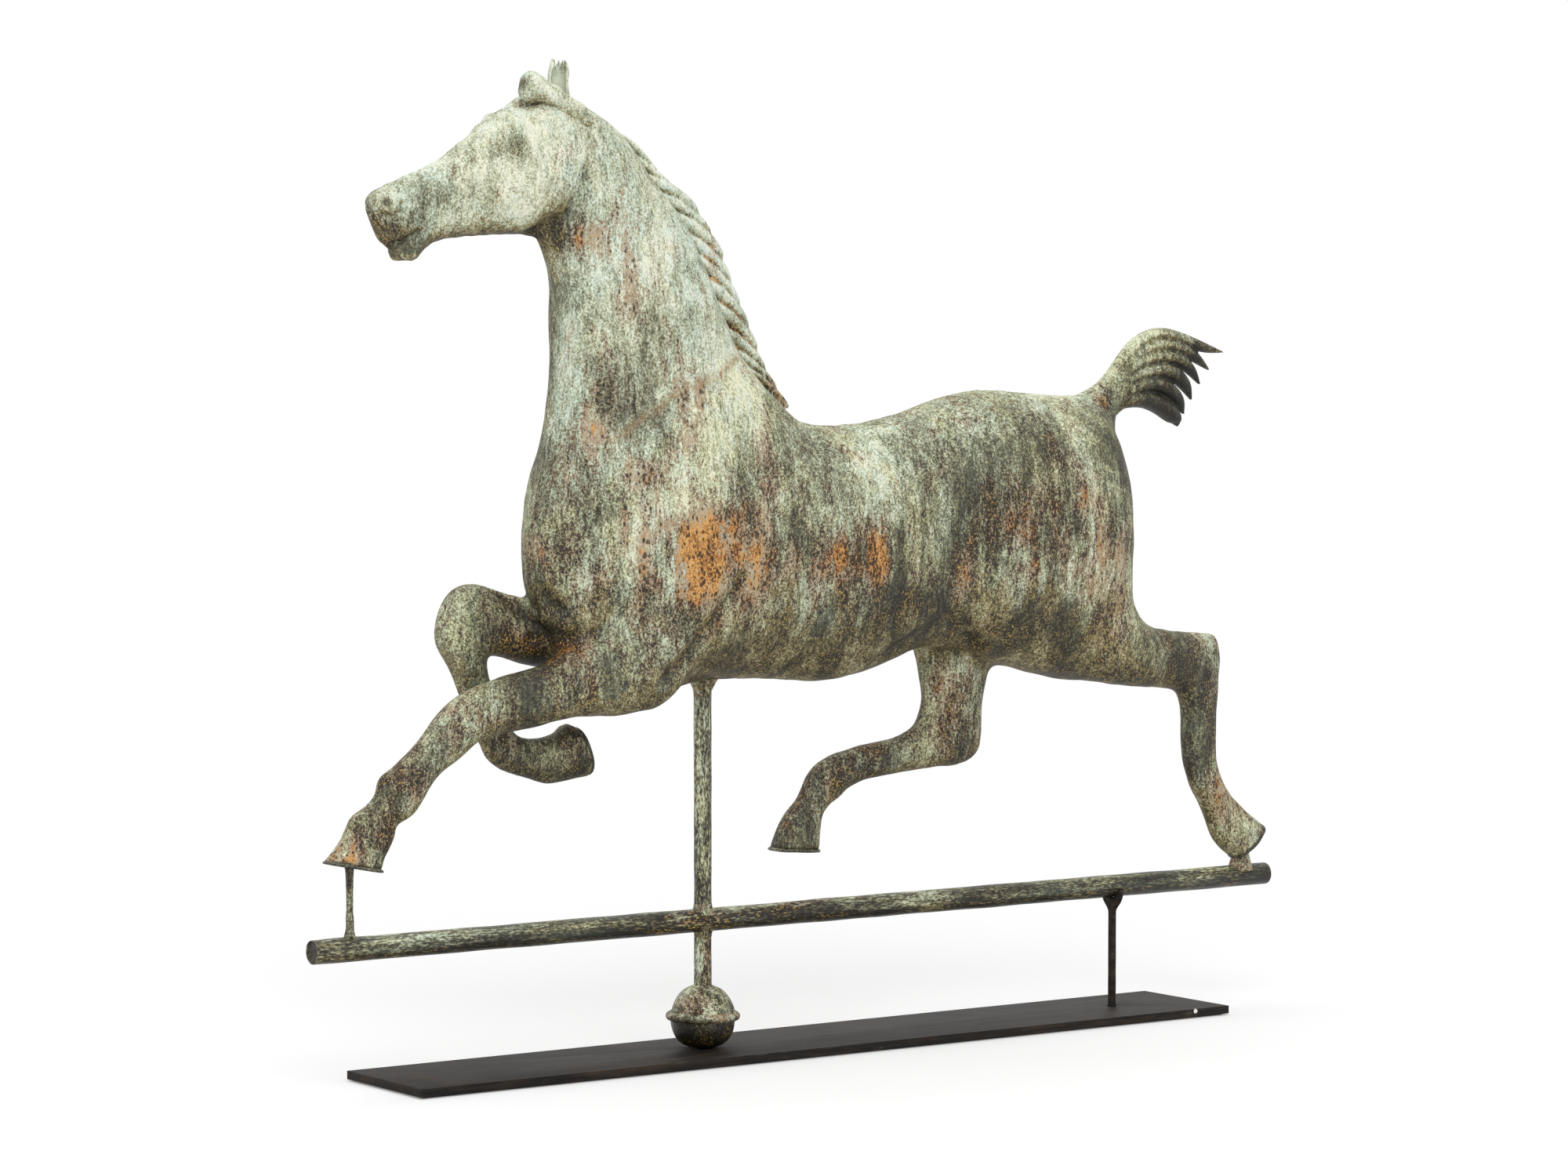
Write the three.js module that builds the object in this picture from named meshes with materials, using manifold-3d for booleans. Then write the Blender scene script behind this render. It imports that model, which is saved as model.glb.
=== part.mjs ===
// A full-bodied horse weathervane of moulded sheet copper, standing on its steel display stand.
// Millimetres, +Z up, +X towards the tail, -Y the horse's left (near) side, origin on the floor under the mast.
import * as THREE from "three";
import { mergeVertices } from "three/addons/utils/BufferGeometryUtils.js";
import Module from "manifold-3d";

const wasm = await Module();
wasm.setup();

// Stand
const plateLength = 716;
const plateWidth = 101.6;
const plateThickness = 6;
const plateAhead = 265;
const feltThickness = 1.2;
const feltInset = 4;
const spindleDiameter = 8;
const spindleHeight = 150;
const postDiameter = 6;
const postInset = 74;
const screwDiameter = 3;
const screwLength = 12;
const screwHeadDiameter = 6;
const screwHeadHeight = 1.7;
const forkArmDiameter = 4;
const forkRise = 12;

// Tubes and ball
const mastDiameter = 12.7;
const mastWall = 1.2;
const mastTop = 344;
const mastPlugLength = 8;
const frontOverhang = 30;
const rearOverhang = 25;
const crossbarDiameter = 16.8;
const crossbarWall = 1.2;
const crossbarHeight = 99.4;
const endPlugLength = 3;
const endPlugRecess = 1.6;
const ballDiameter = 46.4;
const ballWall = 1.4;
const rimDiameter = 53.4;
const rimHeight = 5;
const solderWidth = 2.6;
const solderHeight = 3.4;
const bellySolderWidth = 4;
const bellySolderHeight = 10;
const hoofRodDiameter = 4.8;
const hoofRodShare = -0.3465;
const hoofStubDiameter = 13.5;
const hoofStubShare = 0.601;

// Horse
const horseLength = 840;
const horseHeight = 616;
const sheetWall = 1;
const soleThickness = 2;

// Clearances
const seamGap = 0.3;
const slipGap = 0.5;
const cutOverrun = 2;
const roundSides = 20;
const bodySides = 18;
const legSides = 12;
const hairSides = 8;
const sectionFullness = 2.25;

const crossbarFront = hoofRodShare * horseLength - frontOverhang;
const crossbarRear = hoofStubShare * horseLength + rearOverhang;
const crossbarRadius = crossbarDiameter / 2;
const mastRadius = mastDiameter / 2;
const plateTop = feltThickness + plateThickness;
const plateRear = plateLength - plateAhead;
const postPlace = plateRear - postInset;
const everywhere = 2 * (horseLength + horseHeight);

// Materials
function finish(color, roughness, metalness) {
  return new THREE.MeshStandardMaterial({ color, roughness, metalness });
}

const paleVerdigris = finish(0x9fae8c, 0.85, 0.15);
const verdigris = finish(0x87957a, 0.82, 0.2);
const brownCopper = finish(0x6f6448, 0.7, 0.35);
const darkVerdigris = finish(0x5a6250, 0.72, 0.3);
const graphite = finish(0x3f4440, 0.6, 0.4);
const blackSteel = finish(0x262422, 0.5, 0.55);
const solderGrey = finish(0x7b7f70, 0.6, 0.5);
const feltBlack = finish(0x2b2a2a, 0.95, 0);

// A closed geometry as a solid, turned to face outwards.
function solidOf(geometry) {
  const bare = new THREE.BufferGeometry();
  bare.setAttribute("position", geometry.getAttribute("position").clone());
  if (geometry.index) bare.setIndex(geometry.index.clone());
  const merged = mergeVertices(bare, seamGap / 1000);
  const vertProperties = new Float32Array(merged.getAttribute("position").array);
  const triVerts = new Uint32Array(merged.index.array);
  const solid = new wasm.Manifold(new wasm.Mesh({ numProp: 3, vertProperties, triVerts }));
  if (solid.volume() > 0) return solid;
  for (let i = 0; i < triVerts.length; i += 3) {
    [triVerts[i + 1], triVerts[i + 2]] = [triVerts[i + 2], triVerts[i + 1]];
  }
  return new wasm.Manifold(new wasm.Mesh({ numProp: 3, vertProperties, triVerts }));
}

function geometryOf(solid) {
  const mesh = solid.getMesh();
  const geometry = new THREE.BufferGeometry();
  const positions = new Float32Array(mesh.numVert * 3);
  for (let i = 0; i < mesh.numVert; i++) {
    const from = i * mesh.numProp;
    positions.set(mesh.vertProperties.subarray(from, from + 3), i * 3);
  }
  geometry.setAttribute("position", new THREE.BufferAttribute(positions, 3));
  geometry.setIndex(new THREE.BufferAttribute(new Uint32Array(mesh.triVerts), 1));
  geometry.computeVertexNormals();
  return geometry;
}

// The largest body of a solid that a cut has left in several.
function largest(solid) {
  const bodies = solid.decompose();
  return bodies.reduce((best, body) => (body.volume() > best.volume() ? body : best));
}

function joined(solids) {
  return solids.reduce((sum, solid) => sum.add(solid));
}

// A round bar or disc standing on +Z from a low height to a high one.
function upright(diameter, low, high, x = 0) {
  const geometry = new THREE.CylinderGeometry(diameter / 2, diameter / 2, high - low, roundSides);
  geometry.rotateX(Math.PI / 2);
  geometry.translate(x, 0, (low + high) / 2);
  return solidOf(geometry);
}

// A round bar lying along X at the crossbar's height.
function lengthways(diameter, from, to) {
  const geometry = new THREE.CylinderGeometry(diameter / 2, diameter / 2, to - from, roundSides);
  geometry.rotateZ(Math.PI / 2);
  geometry.translate((from + to) / 2, 0, crossbarHeight);
  return solidOf(geometry);
}

// A turned shape: [radius, height] pairs round the mast's axis.
function turned(profile) {
  const points = profile.map(([radius, height]) => new THREE.Vector2(radius, height));
  const geometry = new THREE.LatheGeometry(points, roundSides);
  geometry.rotateX(Math.PI / 2);
  return solidOf(geometry);
}

function block(low, high) {
  const size = high.map((value, i) => value - low[i]);
  const geometry = new THREE.BoxGeometry(...size);
  geometry.translate(...high.map((value, i) => (value + low[i]) / 2));
  return solidOf(geometry);
}

// Ribs are lines in the plane of the horse's outline, each with a half width across it.
// Rows give top x, top z, bottom x, bottom z as shares of the horse's length and height, and the half width as a share
// of its length. A sixth number sets the rib to one side.
function ribsFrom(shares) {
  return shares.map(([topX, topZ, lowX, lowZ, half, side = 0]) => ({
    top: new THREE.Vector2(topX * horseLength, crossbarHeight + topZ * horseHeight),
    low: new THREE.Vector2(lowX * horseLength, crossbarHeight + lowZ * horseHeight),
    half: half * horseLength,
    side: side * horseLength,
  }));
}

function between(a, b, c, d, t) {
  return 0.5 * (2 * b + (c - a) * t + (2 * a - 5 * b + 4 * c - d) * t * t + (3 * b - a - 3 * c + d) * t * t * t);
}

// A smooth curve through the ribs, with some steps from each to the next.
function smoothed(ribs, steps) {
  const result = [];
  const at = (i) => ribs[Math.min(Math.max(i, 0), ribs.length - 1)];
  for (let i = 0; i < ribs.length - 1; i++) {
    const near = [at(i - 1), at(i), at(i + 1), at(i + 2)];
    for (let step = 0; step < steps; step++) {
      const t = step / steps;
      const value = (read) => between(...near.map(read), t);
      result.push({
        top: new THREE.Vector2(value((rib) => rib.top.x), value((rib) => rib.top.y)),
        low: new THREE.Vector2(value((rib) => rib.low.x), value((rib) => rib.low.y)),
        half: value((rib) => rib.half),
        side: value((rib) => rib.side),
      });
    }
  }
  result.push(ribs.at(-1));
  return result;
}

// Ribs made larger or smaller all round by one thickness.
function grown(ribs, by) {
  return ribs.map((rib) => {
    const along = rib.top.clone().sub(rib.low).normalize();
    return {
      top: rib.top.clone().addScaledVector(along, by),
      low: rib.low.clone().addScaledVector(along, -by),
      half: rib.half + by,
      side: rib.side,
    };
  });
}

function loft(ribs, sides) {
  const positions = [];
  const triangles = [];
  const power = 2 / sectionFullness;
  const full = (value) => Math.sign(value) * Math.abs(value) ** power;
  for (const rib of ribs) {
    const middle = rib.top.clone().add(rib.low).multiplyScalar(0.5);
    const reach = rib.top.clone().sub(middle);
    for (let k = 0; k < sides; k++) {
      const angle = (2 * Math.PI * k) / sides;
      const up = full(Math.cos(angle));
      const across = full(Math.sin(angle));
      positions.push(middle.x + reach.x * up, rib.side + rib.half * across, middle.y + reach.y * up);
    }
  }
  for (let i = 0; i < ribs.length - 1; i++) {
    for (let k = 0; k < sides; k++) {
      const a = i * sides + k;
      const b = i * sides + ((k + 1) % sides);
      triangles.push(a, b, a + sides, b, b + sides, a + sides);
    }
  }
  const last = (ribs.length - 1) * sides;
  for (let k = 1; k < sides - 1; k++) {
    triangles.push(0, k + 1, k);
    triangles.push(last, last + k, last + k + 1);
  }
  const geometry = new THREE.BufferGeometry();
  geometry.setAttribute("position", new THREE.BufferAttribute(new Float32Array(positions), 3));
  geometry.setIndex(triangles);
  return solidOf(geometry);
}

// Ribs square to a path through points in the outline's plane, for a lock of hair.
function beadRibs(points, heights, halfWidths, sides) {
  const path = new THREE.SplineCurve(points);
  return points.map((point, i) => {
    const along = path.getTangent(i / (points.length - 1));
    const square = new THREE.Vector2(-along.y, along.x).multiplyScalar(heights[i]);
    return {
      top: point.clone().add(square),
      low: point.clone().sub(square),
      half: halfWidths[i],
      side: sides ? sides[i] : 0,
    };
  });
}

function place([xShare, zShare]) {
  return new THREE.Vector2(xShare * horseLength, crossbarHeight + zShare * horseHeight);
}

const leftSpace = block([-everywhere, -everywhere, -everywhere], [everywhere, -seamGap / 2, everywhere]);
const rightSpace = block([-everywhere, seamGap / 2, -everywhere], [everywhere, everywhere, everywhere]);

// Trunk, neck and head
const headShares = [
  [-0.328, 0.822, -0.317, 0.788, 0.007],
  [-0.325, 0.841, -0.306, 0.769, 0.014],
  [-0.307, 0.854, -0.289, 0.763, 0.018],
  [-0.284, 0.868, -0.272, 0.776, 0.017],
  [-0.26, 0.882, -0.245, 0.79, 0.018],
  [-0.238, 0.9, -0.219, 0.795, 0.021],
  [-0.217, 0.922, -0.193, 0.797, 0.025],
  [-0.199, 0.943, -0.173, 0.791, 0.027],
  [-0.18, 0.956, -0.158, 0.774, 0.027],
];
const neckShares = [
  [-0.152, 0.956, -0.148, 0.75, 0.027],
  [-0.117, 0.948, -0.144, 0.718, 0.029],
  [-0.081, 0.917, -0.147, 0.675, 0.031],
  [-0.052, 0.873, -0.148, 0.635, 0.033],
  [-0.024, 0.825, -0.152, 0.589, 0.037],
  [0, 0.776, -0.159, 0.545, 0.04],
  [0.02, 0.724, -0.168, 0.503, 0.045],
  [0.041, 0.668, -0.173, 0.464, 0.05],
];
const trunkShares = [
  [0.065, 0.617, -0.1745, 0.425, 0.052],
  [0.093, 0.583, -0.1705, 0.386, 0.055],
  [0.118, 0.575, -0.151, 0.333, 0.056],
  [0.143, 0.575, -0.112, 0.286, 0.057],
  [0.168, 0.578, -0.06, 0.271, 0.057],
  [0.194, 0.584, 0, 0.279, 0.056],
  [0.22, 0.593, 0.065, 0.28, 0.056],
  [0.248, 0.605, 0.126, 0.274, 0.056],
  [0.276, 0.613, 0.179, 0.287, 0.056],
  [0.307, 0.616, 0.226, 0.307, 0.056],
  [0.343, 0.614, 0.28, 0.3, 0.057],
  [0.379, 0.609, 0.342, 0.274, 0.057],
  [0.405, 0.608, 0.396, 0.259, 0.055],
  [0.42, 0.605, 0.43, 0.262, 0.049],
  [0.434, 0.576, 0.445, 0.304, 0.039],
  [0.442, 0.539, 0.45, 0.369, 0.028],
  [0.447, 0.5, 0.451, 0.42, 0.015],
  [0.449, 0.477, 0.451, 0.445, 0.006],
];
const skinSteps = 1;
const skinRibs = smoothed(ribsFrom([...headShares, ...neckShares, ...trunkShares]), skinSteps);
const neckRibs = skinRibs.slice(0, (headShares.length + neckShares.length - 1) * skinSteps + 1);
const trunkRibs = movedFirst(skinRibs.slice(neckRibs.length - 1), seamGap);
const skinInside = loft(grown(skinRibs.slice(1, -1), -sheetWall), bodySides);
const trunkClear = loft(grown(trunkRibs, seamGap), bodySides);
const neckClear = loft(grown(neckRibs, seamGap), bodySides);
const mastClear = upright(mastDiameter + 2 * seamGap, 0, mastTop + mastPlugLength + cutOverrun);

// The first rib moved on towards the second, so that a seam has its gap.
function movedFirst(ribs, by) {
  const [first, second] = ribs;
  const middle = (rib) => rib.top.clone().add(rib.low).multiplyScalar(0.5);
  const line = first.top.clone().sub(first.low).normalize();
  const square = new THREE.Vector2(-line.y, line.x);
  if (square.dot(middle(second).sub(middle(first))) < 0) square.negate();
  const shift = square.multiplyScalar(by);
  const moved = { ...first, top: first.top.clone().add(shift), low: first.low.clone().add(shift) };
  return [moved, ...ribs.slice(1)];
}

function halves(solid) {
  return [largest(solid.intersect(leftSpace)), largest(solid.intersect(rightSpace))];
}

function trunkHalves() {
  return halves(loft(trunkRibs, bodySides).subtract(skinInside).subtract(mastClear));
}

function neckHalves() {
  return halves(loft(neckRibs, bodySides).subtract(skinInside).subtract(mastClear));
}

// Legs: ribs from inside the trunk to the hoof, front or upper end first, and how far each leg stands to one side at
// its root and at its foot.
const nearForeShares = [
  [-0.026, 0.398, -0.02, 0.33, 0.019],
  [-0.08, 0.372, -0.056, 0.262, 0.024],
  [-0.125, 0.35, -0.093, 0.249, 0.024],
  [-0.163, 0.326, -0.14, 0.248, 0.021],
  [-0.198, 0.303, -0.18, 0.241, 0.018],
  [-0.232, 0.283, -0.216, 0.234, 0.016],
  [-0.259, 0.254, -0.243, 0.214, 0.014],
  [-0.285, 0.22, -0.266, 0.184, 0.013],
  [-0.312, 0.19, -0.29, 0.155, 0.0125],
  [-0.333, 0.164, -0.306, 0.136, 0.012],
  [-0.348, 0.143, -0.314, 0.121, 0.0125],
  [-0.358, 0.118, -0.317, 0.103, 0.015],
  [-0.367, 0.1, -0.321, 0.088, 0.018],
];
const farForeShares = [
  [-0.095, 0.378, -0.093, 0.285, 0.019],
  [-0.137, 0.382, -0.122, 0.298, 0.02],
  [-0.173, 0.38, -0.157, 0.296, 0.019],
  [-0.205, 0.397, -0.183, 0.311, 0.018],
  [-0.231, 0.4, -0.196, 0.319, 0.017],
  [-0.246, 0.366, -0.199, 0.313, 0.015],
  [-0.248, 0.333, -0.2, 0.295, 0.014],
  [-0.238, 0.3, -0.198, 0.266, 0.011],
  [-0.226, 0.266, -0.19, 0.244, 0.01],
  [-0.21, 0.225, -0.181, 0.231, 0.011],
  [-0.193, 0.194, -0.166, 0.229, 0.011],
  [-0.17, 0.175, -0.149, 0.228, 0.011],
  [-0.141, 0.169, -0.128, 0.231, 0.0125],
  [-0.112, 0.174, -0.119, 0.232, 0.015],
];
const farHindShares = [
  [0.242, 0.372, 0.338, 0.358, 0.024],
  [0.243, 0.323, 0.331, 0.312, 0.024],
  [0.251, 0.279, 0.315, 0.269, 0.022],
  [0.252, 0.243, 0.31, 0.231, 0.018],
  [0.239, 0.214, 0.311, 0.188, 0.0155],
  [0.218, 0.197, 0.303, 0.163, 0.014],
  [0.187, 0.192, 0.26, 0.157, 0.012],
  [0.158, 0.187, 0.206, 0.15, 0.0115],
  [0.134, 0.172, 0.174, 0.144, 0.0115],
  [0.119, 0.148, 0.154, 0.129, 0.0115],
  [0.105, 0.122, 0.14, 0.106, 0.013],
  [0.097, 0.098, 0.135, 0.092, 0.0155],
  [0.094, 0.075, 0.132, 0.071, 0.018],
];
const nearHindShares = [
  [0.4, 0.47, 0.392, 0.272, 0.03],
  [0.428, 0.405, 0.42, 0.256, 0.033],
  [0.45, 0.352, 0.452, 0.249, 0.03],
  [0.475, 0.325, 0.485, 0.245, 0.024],
  [0.513, 0.315, 0.51, 0.241, 0.019],
  [0.556, 0.311, 0.524, 0.231, 0.0155],
  [0.571, 0.28, 0.527, 0.194, 0.014],
  [0.569, 0.222, 0.528, 0.155, 0.0115],
  [0.568, 0.174, 0.531, 0.13, 0.0105],
  [0.571, 0.142, 0.538, 0.107, 0.011],
  [0.578, 0.115, 0.547, 0.082, 0.0125],
  [0.6, 0.09, 0.56, 0.056, 0.0145],
  [0.621, 0.067, 0.585, 0.023, 0.017],
];
const legs = {
  near_fore: { shares: nearForeShares, rootSideShare: -0.03, footSideShare: 0 },
  far_fore: { shares: farForeShares, rootSideShare: 0.026, footSideShare: 0.026 },
  far_hind: { shares: farHindShares, rootSideShare: 0.026, footSideShare: 0.026 },
  near_hind: { shares: nearHindShares, rootSideShare: -0.014, footSideShare: 0 },
};

// A geometry leaned sideways along X, from the leg's root to its foot.
function leaned(solid, ribs, { rootSideShare, footSideShare }) {
  const rootX = ribs[0].top.x;
  const footX = ribs.at(-1).top.x;
  const slope = ((footSideShare - rootSideShare) * horseLength) / (footX - rootX);
  const offset = rootSideShare * horseLength - slope * rootX;
  const lean = new THREE.Matrix4().set(1, 0, 0, 0, slope, 1, 0, offset, 0, 0, 1, 0, 0, 0, 0, 1);
  return solidOf(geometryOf(solid).applyMatrix4(lean));
}

// The rib at a loft's open end moved straight out by some distance.
function endRib(ribs, by) {
  const [moved] = movedFirst([ribs.at(-1), ribs.at(-2)], -by);
  return moved;
}

const legSteps = 1;
function legPieces(leg) {
  const ribs = smoothed(ribsFrom(leg.shares), legSteps);
  const inside = grown([...ribs.slice(1), endRib(ribs, cutOverrun)], -sheetWall);
  const hollow = loft(ribs, legSides).subtract(loft(inside, legSides));
  const sole = loft([endRib(ribs, seamGap), endRib(ribs, seamGap + soleThickness)], legSides);
  const space = [...ribs, endRib(ribs, 2 * seamGap + soleThickness)];
  const stand = (solid) => leaned(solid, ribs, leg);
  const seat = (solid) => largest(stand(solid).subtract(trunkClear));
  return {
    left: seat(hollow.intersect(leftSpace)),
    right: seat(hollow.intersect(rightSpace)),
    sole: stand(sole),
    clear: stand(loft(grown(space, seamGap), legSides)),
  };
}

// Tail: locks of hair fanned from the dock, set by their ends at the top and at the bottom of the tail.
const tailTopShares = [
  [0.424, 0.6],
  [0.457, 0.647],
  [0.495, 0.679],
  [0.531, 0.67],
];
const tailLowShares = [
  [0.44, 0.584],
  [0.464, 0.598],
  [0.488, 0.594],
  [0.508, 0.586],
];
const tailTipShares = [
  [0.579, 0.661],
  [0.566, 0.634],
  [0.554, 0.612],
  [0.544, 0.594],
  [0.534, 0.579],
  [0.523, 0.569],
];
const tailHeightShares = [0.009, 0.009, 0.0105, 0.0105, 0.001];
const tailHalfShares = [0.011, 0.014, 0.015, 0.01, 0.001];
function tailLocks(thinner) {
  const locks = tailTipShares.map((tip, i) => {
    const down = i / (tailTipShares.length - 1);
    const points = tailTopShares.map((top, k) => place(top).lerp(place(tailLowShares[k]), down));
    points.push(place(tip));
    const heights = tailHeightShares.map((share) => share * horseLength);
    const widths = tailHalfShares.map((share) => share * horseLength);
    const ribs = beadRibs(points, heights, widths);
    return thinner ? loft(grown(ribs.slice(1, -1), -thinner), hairSides) : loft(ribs, hairSides);
  });
  return joined(locks);
}

function tailHalves() {
  return halves(tailLocks(0).subtract(tailLocks(sheetWall)).subtract(trunkClear));
}

// Mane: locks laid slantwise along the crest, which is the neck's upper line.
const hairSteps = 2;
const maneLocks = 12;
const maneStartShare = 0.1;
const maneEndShare = 0.97;
const maneHeightShares = [0, 0, 0.009, 0.02, 0.018, 0.01, 0.009, 0.006, 0];
const maneRootShare = 0.007;
const maneThicknessShares = [0.011, 0.01, 0.0035];
const maneDepthShares = [0.009, 0.01, 0.003];
const maneSlant = 0.85;
function maneHalves() {
  const crest = new THREE.SplineCurve(neckShares.slice(1).concat(trunkShares.slice(0, 2)).map(place));
  const heightAt = new THREE.SplineCurve(maneHeightShares.map((share) => new THREE.Vector2(share, 0)));
  const pitch = (maneEndShare - maneStartShare) / maneLocks;
  const locks = [];
  for (let i = 0; i < maneLocks; i++) {
    const along = maneStartShare + (i + 0.5) * pitch;
    const height = heightAt.getPoint(along).x * horseLength;
    const outward = (t, by) => {
      const tangent = crest.getTangentAt(Math.min(t, 1));
      return crest.getPointAt(Math.min(t, 1)).add(new THREE.Vector2(-tangent.y, tangent.x).multiplyScalar(by));
    };
    const root = outward(along - pitch * maneSlant, -maneRootShare * horseLength);
    const middle = outward(along, height / 2);
    const tip = outward(along + pitch * maneSlant, height);
    const depths = maneDepthShares.map((share) => share * horseLength);
    const widths = maneThicknessShares.map((share) => share * horseLength);
    locks.push(loft(smoothed(beadRibs([root, middle, tip], depths, widths), hairSteps), hairSides));
  }
  return halves(joined(locks).subtract(neckClear).subtract(trunkClear));
}

// Ears: the near one is a closed stub that leans forward, the far one an upright trough with its tip gone.
function setAside(ribs, sideShare) {
  return ribs.map((rib) => ({ ...rib, side: sideShare * horseLength }));
}

const nearEarShares = [
  [-0.191, 0.968, -0.19, 0.952, 0.004],
  [-0.185, 0.981, -0.182, 0.946, 0.0085],
  [-0.173, 0.983, -0.172, 0.94, 0.01],
  [-0.16, 0.966, -0.163, 0.934, 0.009],
  [-0.144, 0.951, -0.147, 0.927, 0.007],
  [-0.129, 0.936, -0.131, 0.921, 0.004],
];
const earSideShare = 0.0155;
function nearEar() {
  return largest(loft(setAside(ribsFrom(nearEarShares), -earSideShare), hairSides).subtract(neckClear));
}

const farEarShares = [
  [-0.147, 0.94, -0.119, 0.936, 0.0085],
  [-0.1436, 0.965, -0.126, 0.965, 0.0095],
  [-0.1425, 0.985, -0.1255, 0.985, 0.0095],
  [-0.139, 1.001, -0.1285, 1, 0.008],
];
const troughSideShare = 0.003;
const troughAheadShare = 0.004;
function farEar() {
  const ribs = ribsFrom(farEarShares);
  const outer = loft(setAside(ribs, earSideShare), hairSides);
  const above = [...ribs.slice(1), endRib(ribs, cutOverrun)];
  const ahead = new THREE.Vector2(-troughAheadShare * horseLength, 0);
  const opened = grown(above, -sheetWall).map((rib) => ({
    ...rib,
    top: rib.top.clone().add(ahead),
    low: rib.low.clone().add(ahead),
  }));
  const trough = loft(setAside(opened, earSideShare - troughSideShare), hairSides);
  return largest(outer.subtract(trough).subtract(neckClear));
}

// Ball, mast and crossbar
const spindleHole = spindleDiameter / 2 + slipGap;
const ballRadius = ballDiameter / 2;
const ballHeight = plateTop + seamGap + Math.sqrt(ballRadius ** 2 - spindleHole ** 2);
const mastHole = mastRadius + seamGap;
const arcSteps = 5;

// Points of an arc round the ball's centre, from one radius off the axis to another, above or below the middle.
function ballArc(radius, fromOff, toOff, above) {
  const start = Math.acos(fromOff / radius);
  const end = Math.acos(toOff / radius);
  const points = [];
  for (let i = 0; i <= arcSteps; i++) {
    const angle = start + ((end - start) * i) / arcSteps;
    points.push([radius * Math.cos(angle), ballHeight + above * radius * Math.sin(angle)]);
  }
  return points;
}

function cup(holeRadius, above) {
  const inner = ballRadius - ballWall;
  const edge = seamGap / 2;
  const edgeOff = (radius) => Math.sqrt(radius ** 2 - edge ** 2);
  const outside = ballArc(ballRadius, holeRadius, edgeOff(ballRadius), above);
  const inside = ballArc(inner, edgeOff(inner), holeRadius, above);
  const profile = [...outside, ...inside];
  return turned([...profile, profile[0]]);
}

const rimFlatShare = 0.4;
function ballRimBand() {
  const middle = ballRadius + seamGap;
  const reach = rimDiameter / 2 - middle;
  const profile = [[middle, ballHeight - rimHeight / 2]];
  for (let i = 0; i <= arcSteps / 2; i++) {
    const angle = -Math.PI / 2 + (Math.PI * i) / (arcSteps / 2);
    const out = reach * (rimFlatShare + (1 - rimFlatShare) * Math.cos(angle));
    profile.push([middle + out, ballHeight + (rimHeight / 2) * Math.sin(angle)]);
  }
  profile.push([middle, ballHeight + rimHeight / 2], profile[0]);
  return turned(profile);
}

const mastInside = mastDiameter - 2 * mastWall;
const cupFloor = ballHeight - Math.sqrt((ballRadius - ballWall) ** 2 - mastRadius ** 2);
function mastTube() {
  const tube = upright(mastDiameter, cupFloor + seamGap, mastTop);
  return tube.subtract(upright(mastInside, 0, mastTop + cutOverrun));
}

function mastPlug() {
  const low = mastTop - mastPlugLength;
  const stem = upright(mastInside - 2 * seamGap, low, mastTop + seamGap);
  return stem.add(upright(mastDiameter, mastTop + seamGap, mastTop + mastPlugLength / 2));
}

function crossbarTube() {
  const tube = lengthways(crossbarDiameter, crossbarFront, crossbarRear);
  const bore = crossbarDiameter - 2 * crossbarWall;
  const hollow = tube.subtract(lengthways(bore, crossbarFront - cutOverrun, crossbarRear + cutOverrun));
  return hollow.subtract(mastClear);
}

function crossbarPlug(end, inward) {
  const disc = crossbarDiameter - 2 * crossbarWall - 2 * seamGap;
  const face = end + inward * endPlugRecess;
  const back = face + inward * endPlugLength;
  return lengthways(disc, Math.min(face, back), Math.max(face, back));
}

const crossbarClear = lengthways(crossbarDiameter + 2 * seamGap, crossbarFront, crossbarRear);
function crossingFillet(above) {
  const foot = crossbarHeight;
  const head = crossbarHeight + above * (crossbarRadius + solderHeight);
  const profile = [
    [mastHole, foot],
    [mastHole + solderWidth, foot],
    [mastHole + solderWidth, crossbarHeight + (above * crossbarRadius) / 2],
    [mastHole + solderWidth / 2, crossbarHeight + above * (crossbarRadius + solderHeight / 4)],
    [mastHole + solderWidth / 4, head],
    [mastHole, head],
  ];
  return largest(turned([...profile, profile[0]]).subtract(crossbarClear));
}

const bellyHeight = skinRibs.reduce((best, rib) => {
  return Math.abs(rib.low.x) < Math.abs(best.low.x) ? rib : best;
}).low.y;
function bellyFillet() {
  const foot = bellyHeight - bellySolderHeight;
  const head = bellyHeight + bellySolderHeight / 2;
  const profile = [
    [mastHole, foot],
    [mastHole + bellySolderWidth / 4, foot],
    [mastHole + bellySolderWidth / 2, bellyHeight - bellySolderHeight / 3],
    [mastHole + bellySolderWidth, bellyHeight],
    [mastHole + bellySolderWidth, head],
    [mastHole, head],
  ];
  return turned([...profile, profile[0]]);
}

// A bar from the crossbar up to the hoof above it.
function hoofSupport(diameter, placeShare, hoof) {
  const bar = upright(diameter, crossbarHeight, crossbarHeight + horseHeight / 4, placeShare * horseLength);
  const pieces = bar.subtract(crossbarClear).subtract(hoof.clear).decompose();
  const lowestOf = (piece) => piece.boundingBox().min[2];
  return pieces.reduce((best, piece) => (lowestOf(piece) < lowestOf(best) ? piece : best));
}

// Stand
const screwHole = screwDiameter + 2 * seamGap;
const screwTop = feltThickness + screwLength;
function screwBody(x) {
  const head = new THREE.CylinderGeometry(screwDiameter / 2, screwHeadDiameter / 2, screwHeadHeight, roundSides);
  head.rotateX(Math.PI / 2);
  head.translate(x, 0, feltThickness + screwHeadHeight / 2);
  return solidOf(head).add(upright(screwDiameter, feltThickness + screwHeadHeight / 2, screwTop, x));
}

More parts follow.
